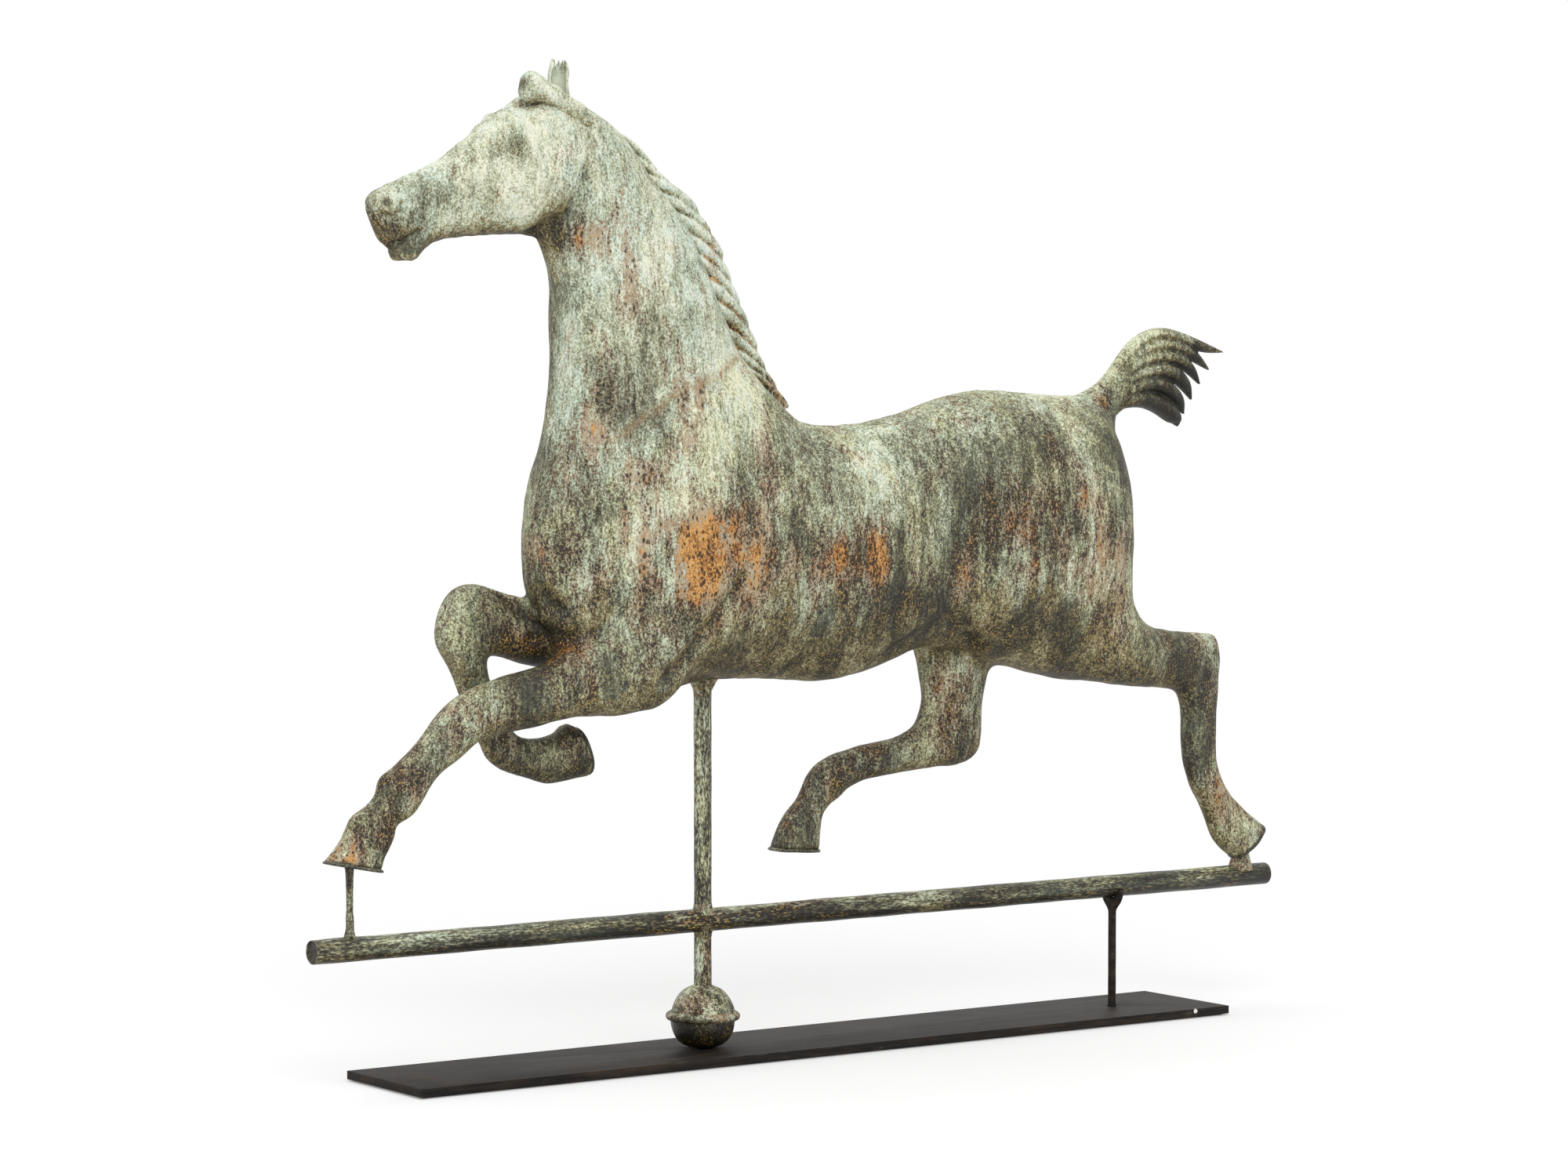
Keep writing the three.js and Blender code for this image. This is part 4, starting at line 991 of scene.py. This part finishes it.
def sweepTree():
    # sweeps a round section along each spline, as thick as the spline's radius
    tree, given = geometryTree("hair_sweep", [
        ("Sides", "NodeSocketInt", 16),
        ("Steps", "NodeSocketInt", 40),
        ("Material", "NodeSocketMaterial", None),
    ])
    line = addNode(tree, "GeometryNodeResampleCurve", {"Curve": given["Geometry"], "Count": given["Steps"]})
    circle = addNode(tree, "GeometryNodeCurvePrimitiveCircle", {"Resolution": given["Sides"], "Radius": 1.0})
    radius = addNode(tree, "GeometryNodeInputRadius")
    sweep = addNode(tree, "GeometryNodeCurveToMesh", {
        "Curve": line.outputs[0],
        "Profile Curve": circle.outputs[0],
        "Fill Caps": True,
    })
    if "Scale" in sweep.inputs:
        tree.links.new(radius.outputs[0], sweep.inputs["Scale"])
    return closeTree(tree, sweep.outputs[0], given["Material"])


def lockTree():
    # sets one lock on each of the evenly spaced points of the crest, along it and a little uneven in size
    tree, given = geometryTree("mane_locks", [
        ("Count", "NodeSocketInt", mane["count"]),
        ("Seed", "NodeSocketInt", mane["seed"]),
        ("Lock", "NodeSocketObject", None),
        ("Material", "NodeSocketMaterial", None),
    ])
    line = addNode(tree, "GeometryNodeResampleCurve", {"Curve": given["Geometry"], "Count": given["Count"]})
    points = addNode(tree, "GeometryNodeCurveToPoints", {"Curve": line.outputs[0]}, mode="EVALUATED")
    turn = addNode(tree, "FunctionNodeAlignRotationToVector", {"Vector": points.outputs["Tangent"]}, axis="X",
                   pivot_axis="Y")
    lock = addNode(tree, "GeometryNodeObjectInfo", {"Object": given["Lock"]})
    small, large = mane["sizes"]
    size = addNode(tree, "FunctionNodeRandomValue", {2: small, 3: large, "Seed": given["Seed"]}, data_type="FLOAT")
    radius = addNode(tree, "GeometryNodeInputRadius")
    height = times(tree, radius.outputs[0], size.outputs[1])
    scale = addNode(tree, "ShaderNodeCombineXYZ", {0: 1.0, 1: size.outputs[1], 2: height})
    place = addNode(tree, "GeometryNodeInstanceOnPoints", {
        "Points": points.outputs["Points"],
        "Instance": lock.outputs["Geometry"],
        "Rotation": turn.outputs[0],
        "Scale": scale.outputs[0],
    })
    return closeTree(tree, place.outputs[0], given["Material"])


def polyCurve(name, lines, sizes):
    curve = bpy.data.curves.new(name, "CURVE")
    curve.dimensions = "3D"
    for line, radii in zip(lines, sizes):
        spline = curve.splines.new("POLY")
        spline.points.add(len(line) - 1)
        for i, point in enumerate(line):
            spline.points[i].co = (*point, 1.0)
            spline.points[i].radius = radii[i]
    return linked(name, curve)


def treeParts(curve, tree, inputs):
    # what a tree makes of the curve, as plain points and faces
    modifier = curve.modifiers.new("tree", "NODES")
    modifier.node_group = tree
    for item in tree.interface.items_tree:
        if item.item_type == "SOCKET" and item.in_out == "INPUT" and item.name in inputs:
            modifier[item.identifier] = inputs[item.name]
    mesh = evaluatedMesh(curve, curve.name + "_mesh")
    bpy.data.objects.remove(curve)
    return readRows(mesh.vertices, "co"), [tuple(face.vertices) for face in mesh.polygons]


def combed(piece, rounds, softRounds, depth):
    # smooths the hair a little and says how far each point stands above or below its soft shape
    edges = readEdges(piece)
    points = relaxed(readPoints(piece), edges, rounds)
    soft = relaxed(points, edges, softRounds, keep=False)
    hollow = np.einsum("ij,ij->i", points - soft, readNormals(piece))
    writePoints(piece, points)
    return points, np.clip(hollow / depth, -1, 0.6)


def makeTail():
    lines = [smoothRows([placed(share) for share in ridge], 8) for ridge in tail["ridges"]]
    sizes = smoothRows([[size] for size in tail["sizes"]], 8)[:, 0]
    curve = polyCurve("tail_ridges", lines, [sizes * radius for radius in tail["radii"]])
    inputs = {"Sides": tail["sides"], "Steps": tail["steps"], "Material": greenSkin}
    points, faces = treeParts(curve, sweepTree(), inputs)
    points[:, 1] *= tail["flatness"]
    piece = remeshed("horse_tail", points, faces, tail["voxel"], greenSkin)
    points, hollow = combed(piece, *tail["comb"])
    dark = np.interp(points[:, 0] + 0.6 * (0.51 - points[:, 2]), tail["darkPlaces"], tail["darkLevels"])
    # the lower lobes darker, with painted shade in the grooves between the ridges and painted highlight on the
    # ridges
    stained(piece, more=dark + hollow * tail["grooveShadingShare"])
    finishPart(piece, "verdigris", "tail_left", "tail_right")


def lockMesh():
    # a rounded ridge along +X that rises aslant from the neck, blunt at its root and pointed at its tip
    count, sides = 30, 16
    grid = np.zeros((count, sides, 3))
    bend = math.radians(mane["slant"])
    rise = mane["length"] * math.sin(bend)
    for i in range(count):
        t = i / (count - 1)
        size = float(np.interp(t, mane["lockPlaces"], mane["lockSizes"]))
        depth = mane["rootDepth"] + (mane["tipDepth"] - mane["rootDepth"]) * t
        x = (t - 0.5) * mane["length"] * math.cos(bend)
        z = rise * (1 - (1 - t) ** 1.6) - mane["below"]
        for k in range(sides):
            angle = 2 * math.pi * k / sides
            up = math.sin(angle) * mane["width"] * size
            grid[i, k] = (x - up * math.sin(bend), math.cos(angle) * depth * size, z + up * math.cos(bend))
    return tubeParts(grid)


def makeMane():
    crest = smoothRows([placed(row) for row in skinShares[15:24]], 10)
    line = crest[int(len(crest) * mane["start"]):int(len(crest) * mane["end"])]
    rise = mane["length"] * math.sin(math.radians(mane["slant"])) - mane["below"]
    heights = np.interp(np.linspace(0, 1, len(line)), np.linspace(0, 1, len(mane["heights"])), mane["heights"])
    curve = polyCurve("mane_crest", [line], [heights / rise])
    lock = makePiece("mane_lock", *lockMesh(), paleSkin)
    inputs = {"Count": mane["count"], "Seed": mane["seed"], "Lock": lock, "Material": paleSkin}
    locks = treeParts(curve, lockTree(), inputs)
    bpy.data.objects.remove(lock)
    # the last lock sits on a blunt butt
    butt = tubeParts(rings(smoothRows(ribTable(mane["butt"]), 6), 32))
    piece = remeshed("horse_mane", *joinParts([locks, butt]), mane["voxel"], paleSkin)
    points, hollow = combed(piece, *mane["comb"])
    # bare copper in the hollows low on the neck, and at the very end
    low, end = (np.clip((top - points[:, 2]) / fade, 0, 1) for top, fade in (mane["bareBelow"], mane["endBelow"]))
    storeShare(piece, "rust", np.maximum(np.clip(-hollow * 1.4, 0, 1.15) * low, mane["endBare"] * end))
    # painted highlight on the locks' ridges and painted shade in their grooves
    storeShare(piece, "pale", mane["paleness"] + hollow * mane["grooveShadingShare"])
    finishPart(piece, "pale_verdigris", "mane_left", "mane_right")


makeTail()
makeMane()
print("hair made")

# Ears: the near one is a closed stub, the far one an open trough with its tip gone.
ears = {
    "near": [
        [-191, 961, -190, 948, 4], [-187.5, 973.5, -184.5, 943, 7.8], [-179, 981, -176.5, 944, 9],
        [-169, 974, -168.5, 943, 9], [-156, 962.5, -158.5, 937, 8.5], [-141, 950, -145, 928, 7.8],
        [-127, 938, -131, 920, 7], [-114, 927, -117, 911, 4.5],
    ],
    "far": [
        [-147, 930, -119, 926, 8.5], [-143.6, 965, -126, 965, 9.5], [-142.5, 985, -125.5, 985, 9.5],
        [-139, 1001, -128.5, 1000, 8],
    ],
    # creases of the near ear: side, height, width and line; and a fold that runs round it
    "creases": [
        (-1, -3, 1.8, [(-161.5, 690), (-156.5, 698.5)]),
        (-1, 1.6, 3, [(-153, 695), (-142.5, 687), (-131, 679.5)]),
    ],
    "fold": (2.2, 3.2, [(-149, 702), (-138, 694), (-126, 685)]),
    "uneven": (0.0009, 41, 0.013),
    "side": 15.5,
    "sides": 40,
    "wall": 0.0011,
    "opening": 105.0,
    "openTowards": 240.0,
    "farPaleAndLit": 0.2,
}


def makeNearEar():
    ribs = smoothRows(ribTable(ears["near"], -ears["side"]), 6)
    points, faces = tubeParts(rings(ribs, ears["sides"]))
    near = makePiece("ear_near_stub", points, faces, paleSkin)
    depth, seed, size = ears["uneven"]
    lift = addRelief(points, readNormals(near), ears["creases"], []) + depth * waves(points, seed, size)
    depth, width, line = ears["fold"]
    lift -= depth / 1000 * nearLine(points, line, width)
    pushOut(near, points, lift)
    stained(near, lift)
    finishPart(near, "pale_verdigris", "ear_left")


def makeFarEar():
    rows, sides = smoothRows(ribTable(ears["far"], ears["side"]), 10), ears["sides"]
    half = math.radians(ears["opening"]) / 2
    angle = math.radians(ears["openTowards"]) + half + np.linspace(0, 2 * math.pi - 2 * half, sides)
    outer = np.zeros((len(rows), sides, 3))
    inner = outer.copy()
    for i, row in enumerate(rows):
        centreX, halfX = (row[0] + row[2]) / 2, (row[2] - row[0]) / 2
        t = i / (len(rows) - 1)
        jag = (0.0022 * np.sin(9 * angle) + 0.0016 * np.sin(17 * angle + 1)) * t ** 3 - 0.004 * t ** 4
        z = row[1] + (row[3] - row[1]) * (np.arange(sides) / (sides - 1)) + jag - 0.002 * t
        for grid, wall in ((outer, 0.0), (inner, ears["wall"])):
            x, y = centreX + (halfX - wall) * np.cos(angle), row[5] + (row[4] - wall) * np.sin(angle)
            grid[i] = np.stack([x, y, z], -1)
    points = np.concatenate([outer, inner[:, ::-1]], axis=1).reshape(-1, 3)
    faces = gridFaces(len(rows), 2 * sides)
    top, last = (len(rows) - 1) * 2 * sides, 2 * sides - 1
    for k in range(sides - 1):
        faces.append((k, last - k, last - 1 - k, k + 1))
        faces.append((top + k, top + k + 1, top + last - 1 - k, top + last - k))
    far = makePiece("ear_far_trough", points, facingOut(points, faces), paleSkin)
    # paler all over: partly the trough's pale patina, partly painted light inside the trough
    stained(far, more=ears["farPaleAndLit"])
    finishPart(far, "pale_verdigris", "ear_right")


makeNearEar()
makeFarEar()

# Hoof soles close the legs' ends. Each step is how far out a rib stands, and how much wider it is than the leg.
sole = {"thick": 0.0021, "round": 0.0006, "sides": 64, "uneven": 0.0004}


def makeSoles():
    thick, edge = sole["thick"], sole["round"]
    for name, leg in legs.items():
        ribs = legRibs(leg)
        last, lip = ribs[-1], leg["lip"]
        square = outward(last, ribs[-2])
        steps = [(-0.001, -0.002), (0.0, 0.0), (edge, lip), (thick - edge, lip), (thick - 0.0002, lip - 0.0005),
                 (thick, -0.0012)]
        rows = []
        for by, grow in steps:
            moved = last.copy()
            moved[0:4] += np.tile(square * by, 2)
            rows.append(shrunk(moved[None], -grow)[0])
        points, faces = tubeParts(leaned(rings(np.array(rows), sole["sides"]), leg, ribs))
        points = points + (sole["uneven"] * waves(points, 21, 0.02))[:, None] * np.array([0, 1, 0.4])
        piece = makePiece(name + "_sole_plate", points, faces, darkCopper)
        finishPart(piece, "dark_copper", name + "_hoof_sole")


makeSoles()
print("ears and hooves made")


# Turned pieces: a profile of (radius, height) pairs round an axis, with a slight unevenness.
def turnedRings(profile, sides, x=0.0):
    radius, height = np.asarray(profile, float).T[..., None]
    angle = np.linspace(0, 2 * math.pi, sides, endpoint=False)
    height = np.broadcast_to(height, (len(profile), sides))
    return np.stack([x + radius * np.cos(angle), radius * np.sin(angle), height], -1)


def turned(name, profile, sides, material, uneven, solid=False, x=0.0, axisHeight=None):
    # uneven is the depth, seed and size of the waves; with an axis height it turns round a bar along X
    grid = turnedRings(profile, sides, x)
    if axisHeight is not None:
        grid = np.stack([grid[..., 2], grid[..., 0], grid[..., 1] + axisHeight], -1)
    if solid:
        points, faces = tubeParts(grid)
    else:
        points, faces = grid.reshape(-1, 3), gridFaces(len(grid), sides)
        last = (len(grid) - 1) * sides
        for k in range(sides):
            n = (k + 1) % sides
            faces.append((last + k, last + n, n, k))
        faces = facingOut(points, faces)
    piece = makePiece(name, points, faces, material)
    depth, seed, size = uneven
    pushOut(piece, points, depth * waves(points, seed, size))
    return piece


def along(start, end, count):
    return [tuple(a + (b - a) * i / (count - 1) for a, b in zip(start, end)) for i in range(count)]


def arc(centre, radius, start, end, count):
    angles = [start + (end - start) * i / (count - 1) for i in range(count)]
    return [(centre[0] + radius * math.cos(a), centre[1] + radius * math.sin(a)) for a in angles]


tubes = {
    "crossbarRadius": 0.0084,
    "crossbarHeight": 0.0994,
    "wall": 0.0012,
    "lip": 0.45,  # rounding of the crossbar's cut ends, as a share of the wall
    "mastRadius": 0.00635,
    "ballRadius": 0.0232,
    "ballWall": 0.0014,
    "ballCentre": 0.03026,
    "cupFuller": 0.76,
    "rimRadius": 0.0267,
    "rimHeight": 0.005,
    "rimHold": 0.0006,
    "plugInset": 0.0016,
    "plugDish": 0.0011,
    "plugThick": 0.0028,
    "plugShares": [0.06, 0.3, 0.6, 0.85, 0.97],
    # depth, seed and size of each piece's unevenness
    "barUneven": (0.00022, 11, 0.05),
    "plugUneven": (0.00025, 12, 0.006),
    "mastUneven": (0.00022, 13, 0.04),
    "cupUneven": (0.0003, 14, 0.02),
    "rimUneven": (0.0003, 15, 0.02),
}
# Stretches along a tube: place in mm, pale and bare share.
tones = {
    "crossbar": [
        (-320, 0.08, 0.0), (-270, 0.14, 0.0), (-220, 0.18, 0.1), (-170, 0.02, 0.35), (-130, 0.1, 0.25),
        (-80, 0.08, 0.0), (-45, -0.05, 0.1), (-20, 0.12, 0.34), (20, 0.14, 0.34), (60, 0.08, 0.1), (90, 0.0, 0.0),
        (170, 0.02, 0.0), (195, 0.3, 0.0), (225, 0.08, 0.0), (250, 0.12, 0.1), (290, 0.0, 0.0), (340, 0.14, 0.0),
        (390, 0.12, 0.1), (420, -0.06, 0.0), (455, 0.2, 0.15), (490, 0.12, 0.6), (510, -0.04, 0.3),
        (530, -0.1, 0.1),
    ],
    "mast": [
        (50, -0.3, 0.42), (60, -0.28, 0.36), (69, -0.12, 0.1), (77, -0.1, 0.1), (86, -0.36, 0.25), (100, -0.3, 0.3),
        (112, -0.22, 0.2), (130, -0.14, 0.05), (150, -0.08, 0.0), (165, -0.16, 0.1), (190, 0.0, 0.0),
        (215, -0.1, 0.1), (250, -0.02, 0.0), (290, -0.2, 0.2),
    ],
}


def toned(piece, axis, stretches):
    points = readPoints(piece)
    places, pale, bare = zip(*stretches)
    ragged = (points[:, axis] + 0.006 * waves(points, 41, 0.02)) * 1000
    storeShare(piece, "pale", np.interp(ragged, places, pale))
    storeShare(piece, "rust", np.interp(ragged, places, bare))


def makeCrossbar():
    low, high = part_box("crossbar_tube")
    radius, wall, height = tubes["crossbarRadius"], tubes["wall"], tubes["crossbarHeight"]
    edge = wall * tubes["lip"]
    profile = along((radius, low.x + edge), (radius, high.x - edge), 240)
    profile += arc((radius - edge, high.x - edge), edge, 0.0, math.pi, 7)[1:]
    profile += along((radius - wall, high.x - 0.004), (radius - wall, low.x + 0.004), 60)
    profile += arc((radius - edge, low.x + edge), edge, math.pi, 2 * math.pi, 7)[:-1]
    bar = turned("crossbar", profile, 48, barSkin, tubes["barUneven"], axisHeight=height)
    toned(bar, 0, tones["crossbar"])
    finishPart(bar, "dark_verdigris", "crossbar_tube")
    disc, dish = radius - wall, tubes["plugDish"]
    for end, inward, node in ((low.x, 1, "crossbar_plug_front"), (high.x, -1, "crossbar_plug_rear")):
        face = end + inward * tubes["plugInset"]
        profile = [(disc * share, face - inward * dish * share ** 3) for share in tubes["plugShares"]]
        back = face + inward * tubes["plugThick"]
        profile += [(disc, face + inward * 0.0004), (disc, back), (disc * 0.06, back)]
        name = node.replace("plug", "disc")
        plug = turned(name, profile, 40, darkCopper, tubes["plugUneven"], solid=True, axisHeight=height)
        finishPart(plug, "dark_copper", node)


def makeMast():
    low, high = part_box("mast_tube")
    radius = tubes["mastRadius"]
    bore = radius - tubes["wall"]
    profile = along((radius, low.z), (radius, high.z), 120) + along((bore, high.z), (bore, low.z), 40)
    mast = turned("mast", profile, 40, mastSkin, tubes["mastUneven"])
    toned(mast, 2, tones["mast"])
    finishPart(mast, "dark_verdigris", "mast_tube")


def makeBall():
    centre, radius, wall, fuller = (tubes[key] for key in ("ballCentre", "ballRadius", "ballWall", "cupFuller"))
    cups = ((1, 0.0065, "upper", ballTop, "verdigris"), (-1, 0.0045, "lower", darkCopper, "dark_copper"))
    for above, hole, name, material, slot in cups:
        start, end = math.acos(hole / radius), math.asin(0.00015 / radius)
        outer = arc((0.0, centre), radius, above * start, above * end, 30)
        if above < 0:
            # the lower cup is fuller than a half ball, down to the plate
            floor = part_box("ball_lower")[0].z
            for i, (r, z) in enumerate(outer):
                drop = radius * ((centre - z) / radius) ** fuller
                outer[i] = (radius * (r / radius) ** fuller, max(centre - drop, floor))
        inner = arc((0.0, centre), radius - wall, above * end, above * math.acos(hole / (radius - wall)), 20)
        cup = turned("ball_cup_" + name, outer + inner, 72, material, tubes["cupUneven"])
        finishPart(cup, slot, "ball_" + name)
    height, reach, hold = tubes["rimHeight"], tubes["rimRadius"] - radius, tubes["rimHold"]
    profile = [(radius - 0.0004, centre - height * 0.62), (radius + hold, centre - height * 0.6)]
    for angle in np.linspace(-1.45, 1.45, 14):
        bulge = reach * (0.42 + 0.58 * math.cos(angle))
        profile.append((radius + bulge, centre + height / 2 * math.sin(angle)))
    profile += [(radius + hold, centre + height * 0.66), (radius - 0.0004, centre + height * 0.72)]
    rim = turned("ball_rim", profile, 72, brownRim, tubes["rimUneven"])
    finishPart(rim, "brown_copper", "ball_rim_band")


makeCrossbar()
makeMast()
makeBall()

# Solder: rings round the mast, and the ends of the rod and the stub, which spread out where they are held.
solder = {
    "under": 0.0003,
    "above": 0.0001,
    "crossing": 0.0034,
    "crossingFlare": 0.0032,
    "crossingUneven": (0.0004, 16, 0.008),
    "bellyFlare": 0.0052,
    "bellyUneven": (0.0005, 17, 0.01),
    # reach past the solid, the flares of both ends, the neck's radius, sharpness, and depth, seed and size of waves
    "rod": (0.001, (0.0022, 0.0012), 0.0024, 9.0, (0.0002, 18, 0.012)),
    "stub": (0.0015, (0.0042, 0.0052), 0.0058, 2.0, (0.0004, 19, 0.012)),
}


def solderRing(name, node, low, high, shares, flare, power, uneven):
    # a hollowed ring round the mast, widest where the share is 1
    radius = tubes["mastRadius"]
    inside = radius - solder["under"]
    profile = [(inside, low)]
    for i, share in enumerate(shares):
        reach = radius + solder["above"] + flare * share ** power
        profile.append((reach, low + (high - low) * i / (len(shares) - 1)))
    profile.append((inside, high))
    finishPart(turned(name, profile, 48, solderSkin, uneven), "solder", node)


def flaredBar(name, node, sides, material, slot, size, count=22):
    past, ends, neck, sharp, uneven = size
    low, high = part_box(node)
    base, top = low.z - past, high.z + past
    profile = []
    for i in range(count):
        t = i / (count - 1)
        profile.append((neck + max(ends[0] * (1 - t) ** sharp, ends[1] * t ** sharp), base + (top - base) * t))
    bar = turned(name, profile, sides, material, uneven, solid=True, x=(low.x + high.x) / 2)
    finishPart(bar, slot, node)


def makeSolder():
    centre, radius = tubes["crossbarHeight"], tubes["crossbarRadius"]
    for above, place in ((1, "top"), (-1, "bottom")):
        base, top = centre + above * radius * 0.45, centre + above * (radius + solder["crossing"])
        solderRing("crossing_solder_" + place, "crossing_fillet_" + place, base, top, np.linspace(1, 0, 12),
                   solder["crossingFlare"], 2.2, solder["crossingUneven"])
    low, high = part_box("belly_fillet")
    solderRing("belly_solder", "belly_fillet", low.z, high.z, np.linspace(0, 1, 16), solder["bellyFlare"], 1.8,
               solder["bellyUneven"])
    flaredBar("front_rod", "front_hoof_rod", 32, rodSkin, "dark_verdigris", solder["rod"])
    flaredBar("rear_stub", "rear_hoof_stub", 40, solderSkin, "solder", solder["stub"])


makeSolder()
print("tubes and solder made")

# Stand: the plate and its felt pad, the post, and the fork of two arms, a saddle and a web.
stand = {
    "bevel": 0.0005,
    "padBevel": 0.0004,
    "postRadius": 0.003,
    "postUneven": (0.00006, 20, 0.02),
    "armRadius": 0.0022,
    "armSpread": 0.0102,
    "armTop": 0.0985,
    "armPath": [(0.0, 0.0), (0.25, 0.0045), (0.75, 0.0095), (0.98, 0.0145)],
    "armSizes": [1.25, 1.15, 1.0, 0.95, 0.7],
    "forkFoot": 0.079,
    "collar": [(0.003, -0.0006), (0.00309, 0.001), (0.0027, 0.004)],
    "web": [(0.002, 0.001), (0.0032, 0.005), (0.0056, 0.008), (0.0078, 0.0105), (0.0075, 0.0117)],
    "webFlat": 0.4,
    "saddleRadius": 0.0019,
    "saddleEnd": 0.0016,
    "saddleTurn": 78,
    "voxel": 0.0005,
}


def bevelledCopy(name, node, width, material):
    mesh = nodes[node].data.copy()
    mesh.name = name
    mesh.materials.clear()
    mesh.materials.append(material)
    work = bmesh.new()
    work.from_mesh(mesh)
    bmesh.ops.remove_doubles(work, verts=work.verts, dist=1e-6)
    bmesh.ops.dissolve_limit(work, angle_limit=math.radians(1), verts=work.verts, edges=work.edges)
    work.to_mesh(mesh)
    work.free()
    mesh.shade_smooth()
    piece = linked(name, mesh)
    bevel = piece.modifiers.new("bevel", "BEVEL")
    bevel.width = width
    bevel.segments = 3
    bevel.limit_method = "ANGLE"
    bevel.angle_limit = math.radians(40)
    bevel.harden_normals = True
    return piece


def sweptRod(points, radii, sides=20):
    # a round rod along a path in the plane across the crossbar
    points = smoothRows(points, 8)
    radii = smoothRows([[r] for r in radii], 8)[:, 0]
    grid = np.zeros((len(points), sides, 3))
    first = np.array([1.0, 0.0, 0.0])
    for i, point in enumerate(points):
        ahead = points[min(i + 1, len(points) - 1)] - points[max(i - 1, 0)]
        second = np.cross(ahead / np.linalg.norm(ahead), first)
        for k in range(sides):
            angle = 2 * math.pi * k / sides
            grid[i, k] = point + radii[i] * (math.cos(angle) * first + math.sin(angle) * second)
    return tubeParts(grid)


def makePlate():
    plate = bevelledCopy("stand_plate", "base_plate", stand["bevel"], blackSteel)
    finishPart(plate, "black_steel", "base_plate", body="stand")
    pad = bevelledCopy("stand_felt_pad", "base_felt", stand["padBevel"], blackFelt)
    finishPart(pad, "felt", "base_felt", body="stand")


def makePost():
    low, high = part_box("support_post")
    radius = stand["postRadius"]
    profile = [(radius * 1.25, low.z), (radius * 1.06, low.z + 0.0008)]
    profile += along((radius, low.z + 0.002), (radius, high.z), 30)
    post = turned("stand_post", profile, 40, blackSteel, stand["postUneven"], solid=True, x=(low.x + high.x) / 2)
    finishPart(post, "black_steel", "support_post", body="stand")


def makeFork():
    low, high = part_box("support_post")
    x, foot = (low.x + high.x) / 2, stand["forkFoot"]
    sizes = [stand["armRadius"] * share for share in stand["armSizes"]]
    parts = []
    for way in (-1, 1):
        reach = stand["armSpread"] * way
        path = [(x, reach * share, foot + rise) for share, rise in stand["armPath"]]
        parts.append(sweptRod(path + [(x, reach * 1.02, stand["armTop"])], sizes))
    collar, web = ([(radius, foot + rise) for radius, rise in stand[key]] for key in ("collar", "web"))
    parts.append(tubeParts(turnedRings(collar, 32, x)))
    low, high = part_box("crossbar_tube")
    thick, end = stand["saddleRadius"], stand["saddleEnd"]
    middle, around = (low.z + high.z) / 2, (high.z - low.z) / 2 + thick
    angles = np.radians(np.linspace(-stand["saddleTurn"], stand["saddleTurn"], 9))
    saddle = [(x, around * math.sin(angle), middle - around * math.cos(angle)) for angle in angles]
    parts.append(sweptRod(saddle, [end] + [thick] * 7 + [end]))
    web = turnedRings(web, 32)
    web[..., 0] = x + web[..., 0] * stand["webFlat"]
    parts.append(tubeParts(web))
    fork = remeshed("stand_fork", *joinParts(parts), stand["voxel"], blackSteel)
    writePoints(fork, relaxed(readPoints(fork), readEdges(fork), 8))
    finishPart(fork, "black_steel", "cradle_fork", body="stand")


makePlate()
makePost()
makeFork()
for name, material in (("spindle", blackSteel), ("spindle_screw", blackSteel), ("post_screw", blackSteel),
                       ("mast_plug", brownRim)):
    nodes[name].data.materials.clear()
    nodes[name].data.materials.append(material)
print("stand made")

# Floor and light
studio = {
    "floorSize": 60.0,
    "floorTone": rgb(248, 248, 248),
    "floorGlow": 0.25,
    "shadowReach": (0.5, 1.2),
    "worldTone": 0.6,
    "aim": (0.1, 0.0, 0.35),
    # place, size and power
    "lamps": {"key_lamp": ((-1.3, -2.6, 3.0), 2.6, 84.0), "top_lamp": ((0.3, 0.6, 3.0), 3.0, 34.0)},
}


def seenRays(tree):
    # 1 for the rays that show the background itself, to the camera or in a reflection
    path = addNode(tree, "ShaderNodeLightPath").outputs
    seen = calc(tree, "MAXIMUM", path["Is Camera Ray"], path["Is Glossy Ray"])
    return calc(tree, "MAXIMUM", seen, path["Is Transmission Ray"])


def makeFloor():
    material, tree, shader = startMaterial("pale_floor")
    shader.inputs["Base Color"].default_value = (*studio["floorTone"], 1.0)
    shader.inputs["Roughness"].default_value = 0.9
    shader.inputs["Specular IOR Level"].default_value = 0.1
    glow = addNode(tree, "ShaderNodeEmission", {"Color": (1.0, 1.0, 1.0, 1.0), "Strength": 1.0})
    away = addNode(tree, "ShaderNodeVectorMath", {0: objectPlace(tree)}, operation="LENGTH").outputs["Value"]
    share = times(tree, seenRays(tree), spread(tree, away, *studio["shadowReach"], studio["floorGlow"], 1.0))
    mix = addNode(tree, "ShaderNodeMixShader", {0: share, 1: shader.outputs[0], 2: glow.outputs[0]})
    tree.links.new(mix.outputs[0], tree.nodes["Material Output"].inputs["Surface"])
    half = studio["floorSize"] / 2
    corners = [(-half, -half, 0), (half, -half, 0), (half, half, 0), (-half, half, 0)]
    makePiece("floor", corners, [(0, 1, 2, 3)], material)


def makeLight():
    world = bpy.data.worlds.new("studio")
    scene.world = world
    world.use_nodes = True
    tree = world.node_tree
    back = tree.nodes["Background"]
    back.inputs["Color"].default_value = (1.0, 1.0, 1.0, 1.0)
    tree.links.new(spread(tree, seenRays(tree), 0.0, 1.0, studio["worldTone"], 1.0), back.inputs["Strength"])
    for name, (place, size, power) in studio["lamps"].items():
        data = bpy.data.lights.new(name, "AREA")
        data.size = size
        data.energy = power
        lamp = linked(name, data)
        lamp.location = place
        lamp.rotation_euler = (Vector(studio["aim"]) - Vector(place)).to_track_quat("-Z", "Y").to_euler()
        lamp.visible_camera = False


makeFloor()
makeLight()
print("studio made")
